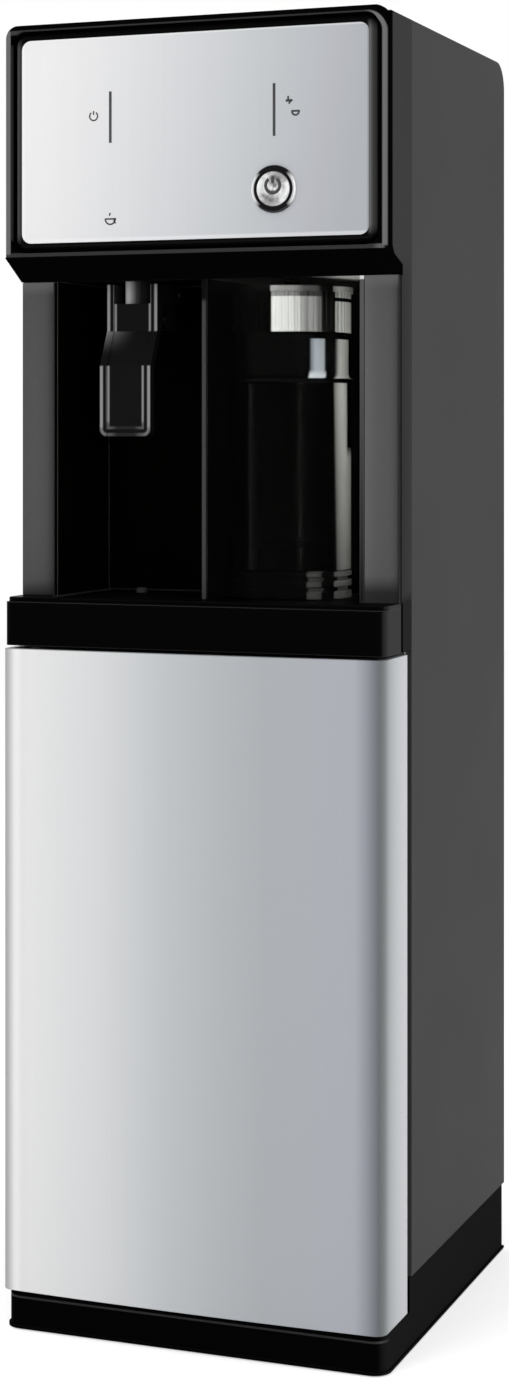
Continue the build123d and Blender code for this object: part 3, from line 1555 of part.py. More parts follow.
def make_rocker(x, name):
    """A rocker on two stub pins, tipped to its off side."""
    reach = rocker_width / 2 + rocker_pin_reach
    tilt = radians(rocker_tilt)
    tipped = (0, cos(tilt), sin(tilt))
    half = rocker_height / 2
    with BuildPart() as rocker:
        with BuildSketch(Plane(origin=(x - rocker_width / 2, y_rocker, rocker_z), x_dir=tipped,
                               z_dir=(1, 0, 0))):
            with BuildLine():
                Polyline((-rocker_depth, -wall), (-rocker_depth, wall), (sheet, half), (rocker_depth, half),
                         (rocker_depth - sheet, 0), (rocker_depth, -half), (sheet, -half), close=True)
            make_face()
        extrude(amount=rocker_width)
        rod(rocker_pin, (x - reach, y_rocker, rocker_z), (1, 0, 0), 2 * reach)
    save(rocker, name)


# All the pieces

make_plinth()
make_feet()
make_side_panels()
make_cheeks()
make_roof()
make_back_panel()
make_back_screws()
make_door_panel()
make_door_liner()
make_hinge_pins()
make_door_posts()
make_door_magnet()
make_door_strike()
make_deck()
make_deck_plate()
make_drip_tray()
make_drip_grille()
make_grille_knob()
make_niche_liner()
make_jambs()
make_tank_window()
make_window_trim()
make_tank_base()
make_tank_glass()
make_tank_cap()
make_head_frame()
make_carrier()
make_control_plate()
make_light_bars()
make_button_bezel()
make_button_cap()
make_button_spring()
make_control_board()
make_tap_body()
make_tap_nozzle()
make_tap_lever()
make_lever_pin()
make_plunger()
make_plunger_spring()
make_partition()
make_tank_shelf()
make_cold_tank()
make_foam()
make_compressor()
make_mounts()
make_condenser()
make_filter_head()
for number, place in enumerate(filter_places(), 1):
    make_filter(place, f"filter_{number}")
make_inlet_valve()
make_hoses()
make_service_recess()
make_water_ports()
make_cord_gland()
make_drain_cap(drain_x[0], "cold_drain_cap")
make_drain_cap(drain_x[1], "hot_drain_cap")
make_switch_housing()
make_rocker(rocker_places()[0], "heat_rocker")
make_rocker(rocker_places()[1], "cool_rocker")
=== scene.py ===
from math import pi, radians

import bmesh
import bpy
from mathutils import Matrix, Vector


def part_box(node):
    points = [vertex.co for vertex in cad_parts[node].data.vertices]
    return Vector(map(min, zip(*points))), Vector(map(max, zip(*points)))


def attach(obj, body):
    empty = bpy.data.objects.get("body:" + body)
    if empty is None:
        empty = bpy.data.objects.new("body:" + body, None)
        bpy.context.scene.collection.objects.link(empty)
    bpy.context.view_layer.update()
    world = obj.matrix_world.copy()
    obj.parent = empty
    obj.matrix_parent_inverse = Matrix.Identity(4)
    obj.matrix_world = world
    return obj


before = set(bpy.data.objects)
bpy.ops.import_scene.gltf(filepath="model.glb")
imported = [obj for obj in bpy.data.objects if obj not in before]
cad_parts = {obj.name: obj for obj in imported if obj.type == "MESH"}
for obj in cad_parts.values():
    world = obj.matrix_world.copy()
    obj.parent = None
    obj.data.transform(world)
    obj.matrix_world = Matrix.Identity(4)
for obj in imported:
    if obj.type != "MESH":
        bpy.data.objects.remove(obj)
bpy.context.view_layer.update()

bl_info = {
    "name": "Water Cooler Dressing",
    "version": (1, 0, 0),
    "blender": (4, 5, 0),
    "location": "3D View > Sidebar > Cooler",
    "description": "Dresses the packed water cooler with finishes, marks and a studio",
    "category": "Object",
}

PLINTH_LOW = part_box("plinth")[0]
LINER_LOW, LINER_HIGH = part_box("niche_liner")
JAMB_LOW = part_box("jambs")[0]
GLASS_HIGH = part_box("tank_glass")[1]
LEVER_LOW, LEVER_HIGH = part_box("tap_lever")
FILTER_LOW, FILTER_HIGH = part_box("filter_1")
HEAD_LOW, HEAD_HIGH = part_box("head_frame")
CARRIER_LOW, CARRIER_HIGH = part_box("panel_carrier")
PLATE_LOW, PLATE_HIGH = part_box("control_plate")
BEZEL_LOW, BEZEL_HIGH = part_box("button_bezel")
CAP_LOW, CAP_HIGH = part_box("button_cap")

# Heights in metres that several finishes share, and the place along X where the painted light on the tank's
# flank starts
HEAD_FOOT = HEAD_LOW.z + 0.0205
BAY_TOP = HEAD_FOOT - 0.024
NECK_FOOT = GLASS_HIGH.z - 0.0387
FLANK = GLASS_HIGH.x - 0.0065


# Helpers for pieces


def deselect():
    """Leaves nothing selected, because the loaded nodes start selected."""
    if bpy.context.object and bpy.context.object.mode != "OBJECT":
        bpy.ops.object.mode_set(mode="OBJECT")
    bpy.ops.object.select_all(action="DESELECT")


def take(piece):
    """Makes a piece the only selected one, and the active one."""
    deselect()
    piece.select_set(True)
    bpy.context.view_layer.objects.active = piece
    return piece


def edit(piece, mode="FACE"):
    """Opens a piece in edit mode with nothing selected."""
    take(piece)
    bpy.ops.object.mode_set(mode="EDIT")
    bpy.ops.mesh.select_mode(type=mode)
    bpy.ops.mesh.select_all(action="DESELECT")


def pick_edges(piece, test):
    """Selects the edges whose two ends pass a test, in edit mode."""
    mesh = bmesh.from_edit_mesh(piece.data)
    for edge in mesh.edges:
        edge.select_set(bool(test(edge.verts[0].co, edge.verts[1].co)))
    bmesh.update_edit_mesh(piece.data)


def settle(piece):
    """Puts a piece's place into its mesh."""
    take(piece)
    bpy.ops.object.transform_apply(location=True, rotation=True, scale=True)
    return piece


def finish_mesh(piece, smooth=30.0):
    """Merges doubles, turns the faces outwards and shades the piece smooth up to an angle."""
    edit(piece, "VERT")
    bpy.ops.mesh.select_all(action="SELECT")
    bpy.ops.mesh.remove_doubles(threshold=1e-6)
    bpy.ops.mesh.normals_make_consistent(inside=False)
    bpy.ops.object.mode_set(mode="OBJECT")
    take(piece)
    bpy.ops.object.shade_smooth_by_angle(angle=radians(smooth))
    return piece


def join(pieces, name):
    """Joins pieces into one with a name."""
    deselect()
    for piece in pieces:
        piece.select_set(True)
    bpy.context.view_layer.objects.active = pieces[0]
    bpy.ops.object.join()
    whole = bpy.context.object
    whole.name = whole.data.name = name
    return whole


def dress(piece, material, body):
    """Gives a piece its material and its body."""
    piece.data.materials.clear()
    piece.data.materials.append(material)
    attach(piece, body)
    return piece


# Nodes and their arithmetic


def add_node(tree, kind, links=(), **values):
    """Adds a node, sets its options and links its inputs to the given outputs."""
    node = tree.nodes.new(kind)
    for key, value in values.items():
        setattr(node, key, value)
    for socket, source in links:
        if hasattr(source, "node"):
            tree.links.new(source, node.inputs[socket])
        else:
            node.inputs[socket].default_value = source
    return node


def math(operation, *values):
    """A math node's output, from numbers and outputs, in the tree that the outputs are in."""
    tree = next(value for value in values if hasattr(value, "node")).id_data
    return add_node(tree, "ShaderNodeMath", list(enumerate(values)), operation=operation).outputs[0]


def times(*values):
    """The product of several values."""
    product = values[0]
    for value in values[1:]:
        product = math("MULTIPLY", product, value)
    return product


def away(value, middle):
    """How far a value is from a middle one."""
    return math("ABSOLUTE", math("SUBTRACT", value, middle))


def length(across, up):
    """The length of a line from its two parts."""
    return math("SQRT", math("ADD", times(across, across), times(up, up)))


def rise(value, start, end, low=0.0, high=1.0):
    """Maps a value from one range to another, and keeps it inside that range."""
    links = [(0, value), (1, start), (2, end), (3, low), (4, high)]
    return add_node(value.id_data, "ShaderNodeMapRange", links).outputs[0]


def parts_of(vector):
    """The three parts of a vector."""
    return add_node(vector.id_data, "ShaderNodeSeparateXYZ", [(0, vector)]).outputs


def solid(tone):
    """A colour with its alpha, from a colour or from one grey value."""
    return (*tone, 1.0) if hasattr(tone, "__len__") else (tone, tone, tone, 1.0)


def ramp_along(value, stops):
    """A colour ramp along a value, from the first of its stops to the last."""
    low, high = stops[0][0], stops[-1][0]
    ramp = add_node(value.id_data, "ShaderNodeValToRGB", [(0, rise(value, low, high))])
    while len(ramp.color_ramp.elements) < len(stops):
        ramp.color_ramp.elements.new(0.5)
    for element, (at, tone) in zip(ramp.color_ramp.elements, stops):
        element.position = (at - low) / (high - low)
    for element, (at, tone) in zip(ramp.color_ramp.elements, stops):
        element.color = solid(tone)
    return ramp.outputs[0]


def blend(tree, factor, first, second, **values):
    """Mixes two colours, each a number, a colour or an output."""
    mix = add_node(tree, "ShaderNodeMix", [("Factor", factor)], data_type="RGBA", **values)
    for socket, colour in (("A", first), ("B", second)):
        if hasattr(colour, "node"):
            tree.links.new(colour, mix.inputs[socket])
        else:
            mix.inputs[socket].default_value = solid(colour)
    return mix.outputs["Result"]


# Shader groups


FLOAT, VECTOR = "NodeSocketFloat", "NodeSocketVector"


def new_group(name, inputs, outputs):
    """A shader node group with named sockets, and its two end nodes."""
    group = bpy.data.node_groups.new(name, "ShaderNodeTree")
    for label, kind, value in inputs:
        group.interface.new_socket(name=label, in_out="INPUT", socket_type=kind).default_value = value
    for label, kind in outputs:
        group.interface.new_socket(name=label, in_out="OUTPUT", socket_type=kind)
    return group, group.nodes.new("NodeGroupInput").outputs, group.nodes.new("NodeGroupOutput")


def hand_out(end, *sources):
    """Links the outputs of a group, in order, and returns the group."""
    for socket, source in zip(end.inputs, sources):
        end.id_data.links.new(source, socket)
    return end.id_data


def noise(vector, scale, detail):
    """A noise along a vector."""
    links = [("Vector", vector), ("Scale", scale), ("Detail", detail)]
    return add_node(vector.id_data, "ShaderNodeTexNoise", links).outputs[0]


def varied(noisy, spread, base):
    """A base value that a noise moves up and down."""
    return math("MULTIPLY_ADD", math("SUBTRACT", noisy, 0.5), spread, base)


def grain_group():
    """Fine moulded or sprayed grain: a height, a tone and a roughness."""
    group, given, end = new_group(
        "fine_grain",
        [("Grain Size", FLOAT, 0.001), ("Cloud Size", FLOAT, 0.08), ("Base Roughness", FLOAT, 0.4),
         ("Roughness Spread", FLOAT, 0.1)],
        [("Height", FLOAT), ("Tone", FLOAT), ("Roughness", FLOAT)],
    )
    place = add_node(group, "ShaderNodeTexCoord").outputs["Object"]
    fine = noise(place, math("DIVIDE", 1.0, given["Grain Size"]), 2.0)
    cloud = noise(place, math("DIVIDE", 1.0, given["Cloud Size"]), 3.0)
    return hand_out(end, fine, cloud, varied(cloud, given["Roughness Spread"], given["Base Roughness"]))


def brushed_group():
    """Straight brush lines: noise stretched along one axis."""
    group, given, end = new_group(
        "brushed_lines",
        [("Stretch", VECTOR, (1.0, 1.0, 1.0)), ("Base Roughness", FLOAT, 0.3),
         ("Roughness Spread", FLOAT, 0.15)],
        [("Height", FLOAT), ("Tone", FLOAT), ("Roughness", FLOAT)],
    )
    place = add_node(group, "ShaderNodeTexCoord").outputs["Object"]
    turn = add_node(group, "ShaderNodeVectorMath", [(0, place), (1, given["Stretch"])], operation="MULTIPLY")
    lines = noise(turn.outputs[0], 1.0, 4.0)
    return hand_out(end, lines, lines, varied(lines, given["Roughness Spread"], given["Base Roughness"]))


def edge_group():
    """Rounded edges: a softened normal, a mask that is bright along the edges, and one for the sides."""
    group, given, end = new_group(
        "soft_edges",
        [("Radius", FLOAT, 0.0006)],
        [("Normal", VECTOR), ("Edge", FLOAT), ("Side", FLOAT)],
    )
    bevel = add_node(group, "ShaderNodeBevel", [("Radius", given["Radius"])], samples=6).outputs[0]
    true = add_node(group, "ShaderNodeNewGeometry").outputs["Normal"]
    along = add_node(group, "ShaderNodeVectorMath", [(0, bevel), (1, true)], operation="DOT_PRODUCT")
    side = rise(math("ABSOLUTE", parts_of(bevel)[0]), 0.5, 0.98)
    return hand_out(end, bevel, rise(along.outputs["Value"], 1.0, 0.85), side)


GROUPS = {}


def place_group(tree, name, **values):
    """Adds one of the shared groups to a material with its own values, built when it is first asked for."""
    makers = {"grain": grain_group, "brushed": brushed_group, "edges": edge_group}
    if name not in GROUPS:
        GROUPS[name] = makers[name]()
    node = tree.nodes.new("ShaderNodeGroup")
    node.node_tree = GROUPS[name]
    for key, value in values.items():
        node.inputs[key.replace("_", " ")].default_value = value
    return node.outputs


def place_of(tree):
    """The three coordinates of the shaded point, in the frame's metres."""
    return parts_of(add_node(tree, "ShaderNodeTexCoord").outputs["Object"])


def facing_of(material, radius=0.0006):
    """The three parts of a material's rounded normal."""
    return parts_of(place_group(material.node_tree, "edges", Radius=radius)["Normal"])


# Plain finishes


COATED_EDGE, METAL_EDGE, BRUSH_DEPTH = 0.0007, 0.0005, 0.0002


def blank(name):
    """A material with a Principled shader alone."""
    material = bpy.data.materials.new(name)
    material.use_nodes = True
    tree = material.node_tree
    tree.nodes.clear()
    shader = tree.nodes.new("ShaderNodeBsdfPrincipled")
    out = tree.nodes.new("ShaderNodeOutputMaterial")
    tree.links.new(shader.outputs[0], out.inputs[0])
    return material, tree, shader


def opened(material):
    """A material's Principled shader and the coordinates of the shaded point."""
    return material.node_tree.nodes["Principled BSDF"], place_of(material.node_tree)


def surfaced(shader, colour, surface, normal=None):
    """Links a shader's colour, its roughness from a surface group and its normal."""
    links = shader.id_data.links
    links.new(colour, shader.inputs["Base Color"])
    links.new(surface["Roughness"], shader.inputs["Roughness"])
    if normal is not None:
        links.new(normal, shader.inputs["Normal"])


def gloss(shader, specular=None, metallic=None):
    """Sets a shader's plain specular and metallic levels."""
    if specular is not None:
        shader.inputs["Specular IOR Level"].default_value = specular
    if metallic is not None:
        shader.inputs["Metallic"].default_value = metallic


def tinted(tree, tone, colour, spread):
    """A colour that varies with a tone."""
    low = tuple(part * (1 - spread) for part in colour)
    high = tuple(min(1.0, part * (1 + spread)) for part in colour)
    return blend(tree, tone, low, high)


def relief(tree, height, strength, distance, normal):
    """A normal with a fine relief on it."""
    links = [("Strength", strength), ("Distance", distance), ("Height", height), ("Normal", normal)]
    return add_node(tree, "ShaderNodeBump", links).outputs[0]


def laid_over(shader, mask, colour):
    """Lays a colour over a shader's base colour where a mask is 1."""
    base = shader.inputs["Base Color"]
    tree = shader.id_data
    tree.links.new(blend(tree, mask, base.links[0].from_socket, colour), base)


def coated(name, colour, rough=0.4, spread=0.08, grain=0.0008, bump=0.05, specular=0.5, edge_highlight=0.0,
           cloud=0.09, side_sheen=0.0):
    """Plastic, rubber or paint: a colour with clouds, fine grain and softened edges, and when given a
    painted highlight on its edges and painted sheen on its sides.
    """
    material, tree, shader = blank(name)
    surface = place_group(tree, "grain", Grain_Size=grain, Cloud_Size=cloud, Base_Roughness=rough,
                          Roughness_Spread=rough * 0.25)
    edges = place_group(tree, "edges", Radius=COATED_EDGE)
    # Painted highlight along the edges
    edge_highlit = tuple(min(1.0, part + edge_highlight) for part in colour)
    tone = blend(tree, edges["Edge"], tinted(tree, surface["Tone"], colour, spread), edge_highlit)
    # Painted sheen on the faces turned to the sides
    if side_sheen:
        tone = blend(tree, edges["Side"], tone, side_sheen, blend_type="ADD")
    surfaced(shader, tone, surface, relief(tree, surface["Height"], bump, grain / 4, edges["Normal"]))
    gloss(shader, specular, 0.0)
    return material


def brushed(name, colour, rough=0.28, spread=0.1, stretch=(40.0, 40.0, 900.0), bump=0.08):
    """Brushed or polished metal with lines along one axis."""
    material, tree, shader = blank(name)
    surface = place_group(tree, "brushed", Stretch=stretch, Base_Roughness=rough,
                          Roughness_Spread=rough * 0.5)
    edges = place_group(tree, "edges", Radius=METAL_EDGE)
    surfaced(shader, tinted(tree, surface["Tone"], colour, spread), surface,
             relief(tree, surface["Height"], bump, BRUSH_DEPTH, edges["Normal"]))
    gloss(shader, metallic=1.0)
    return material


def see_through(name, colour, rough=0.02, ior=1.45):
    """Glass or clear plastic, faintly uneven."""
    material, tree, shader = blank(name)
    surface = place_group(tree, "grain", Grain_Size=0.02, Cloud_Size=0.12, Base_Roughness=rough,
                          Roughness_Spread=rough * 0.5)
    surfaced(shader, tinted(tree, surface["Tone"], colour, 0.03), surface)
    shader.inputs["Transmission Weight"].default_value = 1.0
    shader.inputs["IOR"].default_value = ior
    return material


# Finishes of single pieces


def lined_black(name):
    """The bay's black moulding, with a pale lining on its right wall and a painted pool of light on its
    ceiling.
    """
    # Painted highlight along the edges
    material = coated(name, (0.0012, 0.0013, 0.0009), rough=0.3, grain=0.0006, bump=0.04, specular=0.01,
                      edge_highlight=0.12)
    shader, (x, y, z) = opened(material)
    facing = parts_of(add_node(material.node_tree, "ShaderNodeNewGeometry").outputs["Normal"])
    wall = LINER_HIGH.x - 0.0035
    ceiling = LINER_HIGH.z - 0.0055
    lining = times(rise(x, wall - 0.0003, wall), rise(facing[0], -0.5, -0.9))
    laid_over(shader, lining, (0.85, 0.84, 0.79))
    lip = times(rise(x, wall - 0.0006, wall + 0.0002), rise(facing[1], -0.5, -0.9),
                rise(z, LINER_LOW.z + 0.006, LINER_HIGH.z - 0.0115, 0.12, 1.0))
    laid_over(shader, lip, 0.10)
    # Painted pool of light on the ceiling, as falls in from the bay's right front
    painted_light_patch = times(rise(z, ceiling - 0.0010, ceiling), rise(y, -0.040, -0.085), rise(x, 0.084, 0.104))
    laid_over(shader, painted_light_patch, 0.75)
    return material


def ring_black(name, black):
    """The head's black moulding, with painted highlights along its rounded front edge, its foot and its left
    side.
    """
    material = coated(name, black, rough=0.3, grain=0.0006, bump=0.04, specular=0.0)
    shader, (x, y, z) = opened(material)
    face, side, top = HEAD_LOW.y, HEAD_HIGH.x, HEAD_HIGH.z
    front = times(rise(facing_of(material)[1], -0.72, -0.97), rise(y, face + 0.0015, face + 0.0005))
    # Painted highlight along the front of the foot, brighter near the right side
    foot = times(front, rise(z, HEAD_FOOT + 0.0006, HEAD_FOOT - 0.0002))
    laid_over(shader, foot, 0.033)
    laid_over(shader, times(foot, rise(x, side - 0.0110, side - 0.0060)), 0.10)
    above_foot = rise(z, HEAD_FOOT - 0.0015, HEAD_FOOT)
    # Painted highlight down the left side
    left = times(rise(x, 0.0057 - side, 0.0050 - side), rise(y, face + 0.0055, face + 0.0040))
    laid_over(shader, times(left, above_foot, rise(z, top - 0.0035, top - 0.0060)), 0.13)
    corner = 0.0136
    beyond = []
    for value, edge in ((x, side - 0.0017), (z, top - 0.0060)):
        beyond.append(math("MAXIMUM", math("SUBTRACT", value, edge - corner), 0.0))
    # Painted highlight along the bead, across the top and down the right side, stronger to the right
    bead_highlight = rise(away(length(*beyond), corner), 0.0020, 0.0012)
    bead_highlight = times(bead_highlight, rise(y, face + 0.0041, face + 0.0027), above_foot)
    laid_over(shader, times(bead_highlight, rise(x, side - 0.0180, side - 0.0090, 0.3, 1.0)), 0.15)
    return material


def plinth_black(name, black):
    """The plinth's black moulding, with a painted highlight along its sill's edge and round its front
    corners, and painted sheen on its sides.
    """
    material = coated(name, black, rough=0.35, grain=0.0006, bump=0.05, specular=0.0, edge_highlight=0.006,
                      side_sheen=0.013)
    shader, (x, y, z) = opened(material)
    sill = PLINTH_LOW.z + 0.0239
    front = rise(y, PLINTH_LOW.y + 0.0142, PLINTH_LOW.y + 0.0132)
    # Painted highlight along the sill's edge, brighter round the front corners
    line = times(rise(away(z, sill), 0.0011, 0.0005), front)
    corner = ramp_along(math("ABSOLUTE", x), (
        (0.1430, 0.0), (0.1460, 0.12), (0.1485, 0.55), (0.1503, 0.8), (0.1520, 0.6), (0.1531, 0.15),
        (0.1536, 0.0)))
    laid_over(shader, line, 0.030)
    laid_over(shader, times(line, corner), 0.070)
    return material


def carrier_black(name):
    """Gloss black round the silver plate, with painted reflections in grey down its rounded side edges."""
    material = coated(name, (0.003, 0.003, 0.003), rough=0.2, grain=0.004, bump=0.01, specular=0.03)
    shader, (x, y, z) = opened(material)
    # Painted reflections in grey down the rounded side edges
    sides = ramp_along(x, (
        (-0.1472, 0.003), (-0.1466, 0.075), (-0.1448, 0.085), (-0.1430, 0.05), (-0.1412, 0.012),
        (-0.1400, 0.003), (0.1400, 0.003), (0.1407, 0.21), (0.1422, 0.085), (0.1440, 0.036),
        (0.1458, 0.05), (0.1466, 0.06), (0.1472, 0.003)))
    upright = times(rise(z, CARRIER_LOW.z + 0.0050, CARRIER_LOW.z + 0.0130),
                    rise(z, CARRIER_HIGH.z - 0.0030, CARRIER_HIGH.z - 0.0110))
    laid_over(shader, upright, sides)
    return material


def cheek_plastic(name, casing):
    """The grey cheeks, with painted shade beside the bay and at their feet, and narrow black front edges."""
    # Painted sheen: the casing's grey lifted to make up for the gloss that the zero specular leaves out
    material = coated(name, tuple(part + 0.014 for part in casing), rough=0.45, grain=0.0006, bump=0.08,
                      specular=0.0)
    shader, (x, y, z) = opened(material)
    # Painted shade beside the bay and at the feet
    beside = times(rise(y, -0.0960, -0.1220, 0.04, 0.30), rise(z, BAY_TOP + 0.020, BAY_TOP))
    low = rise(z, JAMB_LOW.z + 0.011, JAMB_LOW.z, 0.0, 0.62)
    laid_over(shader, math("MAXIMUM", beside, low), 0.004)
    edge = math("ADD", y, rise(z, BAY_TOP, HEAD_FOOT, 0.0, 0.0185))
    laid_over(shader, rise(edge, JAMB_LOW.y + 0.0027, JAMB_LOW.y + 0.0015), 0.003)
    laid_over(shader, rise(facing_of(material)[1], -0.4, -0.6), 0.003)
    return material


def jamb_plastic(name, colour):
    """Finely stippled grey, with painted shading across it, a lighter band at the top, black flanks and
    painted shade at the foot.
    """
    material = coated(name, colour, rough=0.55, spread=0.18, grain=0.0009, bump=0.3, specular=0.08,
                      cloud=0.004)
    shader, (x, y, z) = opened(material)
    # Painted shading across each jamb, darkest at the left jamb's inner edge and the right jamb's outer edge
    tone = ramp_along(x, (
        (-0.1546, 0.066), (-0.1440, 0.074), (-0.1360, 0.064), (-0.1324, 0.050), (-0.1290, 0.019),
        (-0.1255, 0.007), (0.1250, 0.09), (0.1290, 0.118), (0.1367, 0.092), (0.1476, 0.078),
        (0.1515, 0.058), (0.1530, 0.035), (0.1540, 0.004), (0.1546, 0.004)))
    laid_over(shader, 0.7, tone)
    laid_over(shader, rise(z, BAY_TOP - 0.007, BAY_TOP + 0.001, 0.0, 0.5), 0.16)
    # Painted shade at the foot, on a slant
    slanted = math("MULTIPLY_ADD", x, -0.030, z)
    laid_over(shader, rise(slanted, JAMB_LOW.z + 0.016, JAMB_LOW.z + 0.004, 0.0, 0.75), 0.004)
    laid_over(shader, rise(math("ABSOLUTE", facing_of(material, 0.0004)[0]), 0.5, 0.7), 0.003)
    return material


def lever_black(name):
    """Gloss black, with painted highlights along both edges of each raised rail and a painted sheen on the
    slope.
    """
    material = coated(name, (0.007, 0.007, 0.007), rough=0.2, grain=0.003, bump=0.01, specular=0.1)
    shader, (x, y, z) = opened(material)
    middle, half = (LEVER_LOW.x + LEVER_HIGH.x) / 2, (LEVER_HIGH.x - LEVER_LOW.x) / 2
    foot, radius = LEVER_LOW.z, 0.006
    slope_low, slope_high = LEVER_HIGH.z - 0.064, LEVER_HIGH.z - 0.036
    across = math("SUBTRACT", away(x, middle), half - radius)
    down = math("SUBTRACT", foot + radius, z)
    outer = length(math("MAXIMUM", across, 0.0), math("MAXIMUM", down, 0.0))
    inner = math("MINIMUM", math("MAXIMUM", across, down), 0.0)
    depth = math("ADD", math("SUBTRACT", outer, radius), inner)
    wings = rise(away(x, middle), half * 0.35, half * 0.85, 0.05, 0.55)
    lines = []
    # for both lines: how far in from the rail's outer edge, how wide, how far above the foot it starts
    for centre, width, start in ((-0.0014, 0.0017, 0.003), (-0.0066, 0.0015, 0.0075)):
        above = rise(z, foot + start, foot + start + 0.005)
        lines.append(times(rise(away(depth, centre), width, width * 0.35), math("MAXIMUM", above, wings)))
    on_paddle = rise(z, slope_low + 0.001, slope_low)
    on_arms = rise(z, slope_high - 0.001, slope_high)
    rail_highlights = times(math("MAXIMUM", *lines), math("MAXIMUM", on_paddle, on_arms),
                  rise(facing_of(material)[1], -0.1, -0.5))
    sheen = times(rise(z, slope_low + 0.008, slope_high), rise(x, middle + 0.004, LEVER_LOW.x))
    # Painted highlights along the rails, and a painted sheen on the slope's upper left
    laid_over(shader, rail_highlights, 0.26)
    laid_over(shader, times(sheen, sheen, math("SUBTRACT", 1.0, on_arms)), 0.22)
    return material


# Painted reflections and light across the tank's parts and the nozzle: place along X, colour
CAP_STOPS = ((0.0, 0.002), (0.0505, 0.002), (0.0515, 0.74), (0.0670, 0.68), (0.0720, 0.45), (0.0762, 0.25),
             (0.0805, 0.34), (0.0845, 0.2), (0.0866, 0.008), (0.0925, 0.008), (0.0930, 0.34), (0.0960, 0.9),
             (0.1, 0.95))
NECK_STOPS = ((0.0, 0.0015), (0.0780, 0.0015), (0.0792, (0.21, 0.23, 0.26)), (0.0816, (0.42, 0.46, 0.52)),
              (0.0864, (0.44, 0.47, 0.52)), (0.0874, 0.003), (0.0918, 0.003), (0.0925, 0.1),
              (0.0935, 0.75), (0.0944, 0.9), (0.1, 0.95))
BODY_STOPS = ((0.0, 0.003), (0.0922, 0.003), (0.0932, 0.34), (0.0948, 0.68), (0.0962, 0.95), (0.0970, 0.8),
              (0.0975, 0.01), (0.1, 0.01))
BASE_STOPS = ((0.0, 0.002), (0.0765, 0.002), (0.0777, 0.07), (0.0855, 0.07), (0.0865, 0.004),
              (0.0925, 0.004), (0.0930, 0.2), (0.1, 0.42))
NOZZLE_STOPS = ((-0.08, 0.85), (-0.0745, 0.75), (-0.0695, 0.25), (-0.066, 0.05), (-0.062, 0.01),
                (-0.053, 0.01))


def streaked(name, stops, rough=0.22, metallic=0.2):
    """Polished metal inside the bay, with the light and reflections that fall past the bay's edges painted
    into its tone along X.
    """
    material, tree, shader = blank(name)
    surface = place_group(tree, "grain", Grain_Size=0.0012, Cloud_Size=0.05, Base_Roughness=rough,
                          Roughness_Spread=0.06)
    surfaced(shader, ramp_along(place_of(tree)[0], stops), surface)
    gloss(shader, 0.0, metallic)
    return material


def cap_metal(name):
    """The tank cap's polished metal with painted reflections, darker and patchy above its rim, dark above
    its brow, with a seam at its flank.
    """
    material = streaked(name, CAP_STOPS)
    shader, (x, y, z) = opened(material)
    rim, brow, seam = NECK_FOOT + 0.0650, NECK_FOOT + 0.0740, NECK_FOOT + 0.0635
    cloud = place_group(material.node_tree, "grain", Grain_Size=0.0012, Cloud_Size=0.05)["Tone"]
    # Darker and patchy above the rim, less so on the flank
    darker_above_rim = times(rise(z, rim, rim + 0.0008), rise(cloud, 0.4, 0.6, 0.5, 0.92),
                 rise(x, FLANK, FLANK + 0.0005, 1.0, 0.35))
    laid_over(shader, darker_above_rim, 0.003)
    laid_over(shader, rise(z, brow - 0.0008, brow), 0.002)
    laid_over(shader, times(rise(away(z, seam), 0.0017, 0.0013), rise(x, FLANK - 0.0005, FLANK)), 0.002)
    return material


def bottle_glass(name):
    """Dark clear glass, with painted streaks of light and reflection on its flank and its neck."""
    material = see_through(name, (0.10, 0.12, 0.085), ior=1.08)
    tree = material.node_tree
    glass, (x, y, z) = opened(material)
    on_neck = rise(z, NECK_FOOT - 0.0002, NECK_FOOT + 0.0002)
    below_neck = rise(z, NECK_FOOT + 0.0002, NECK_FOOT - 0.0002)
    # Painted reflections: along X on the neck, and on a lean down the flank, fading lower down
    neck = ramp_along(x, NECK_STOPS)
    lean, lean_from = 0.0085, 0.724
    leaning = math("MULTIPLY_ADD", math("SUBTRACT", z, lean_from), lean, x)
    fade = rise(z, 0.575, 0.720, 0.5, 1.0)
    body = add_node(tree, "ShaderNodeVectorMath", [(0, ramp_along(leaning, BODY_STOPS)), ("Scale", fade)],
                    operation="SCALE").outputs[0]
    shine = tree.nodes.new("ShaderNodeBsdfPrincipled")
    surface = place_group(tree, "grain", Grain_Size=0.03, Cloud_Size=0.1, Base_Roughness=0.2,
                          Roughness_Spread=0.05)
    surfaced(shine, blend(tree, on_neck, body, neck), surface)
    gloss(shine, 0.01, 0.0)
    # Painted highlight on the neck
    neck_highlight = times(rise(z, NECK_FOOT + 0.0095, NECK_FOOT + 0.0055), rise(x, 0.0772, 0.0786),
                       rise(x, 0.0882, 0.0872))
    laid_over(shine, neck_highlight, (0.72, 0.75, 0.80))
    back_wall = times(rise(y, -0.0780, -0.0750), rise(z, 0.6720, 0.6800), below_neck)
    laid_over(shine, back_wall, 0.004)
    for low, high in ((0.0, 0.0035), (0.0335, 0.0390)):
        band = times(rise(z, NECK_FOOT + low - 0.0004, NECK_FOOT + low),
                     rise(z, NECK_FOOT + high, NECK_FOOT + high - 0.0004))
        laid_over(shine, band, 0.002)
    bright = math("MAXIMUM", rise(x, FLANK - 0.0002, FLANK + 0.0002), on_neck)
    both = add_node(tree, "ShaderNodeMixShader", [(0, bright), (1, glass.outputs[0]), (2, shine.outputs[0])])
    tree.links.new(both.outputs[0], tree.nodes["Material Output"].inputs[0])
    return material


def from_middle(x, z, low, high):
    """How far a point on the front is beside, above and away from the middle of a box."""
    across = math("SUBTRACT", x, (low.x + high.x) / 2)
    up = math("SUBTRACT", z, (low.z + high.z) / 2)
    return across, up, length(across, up)


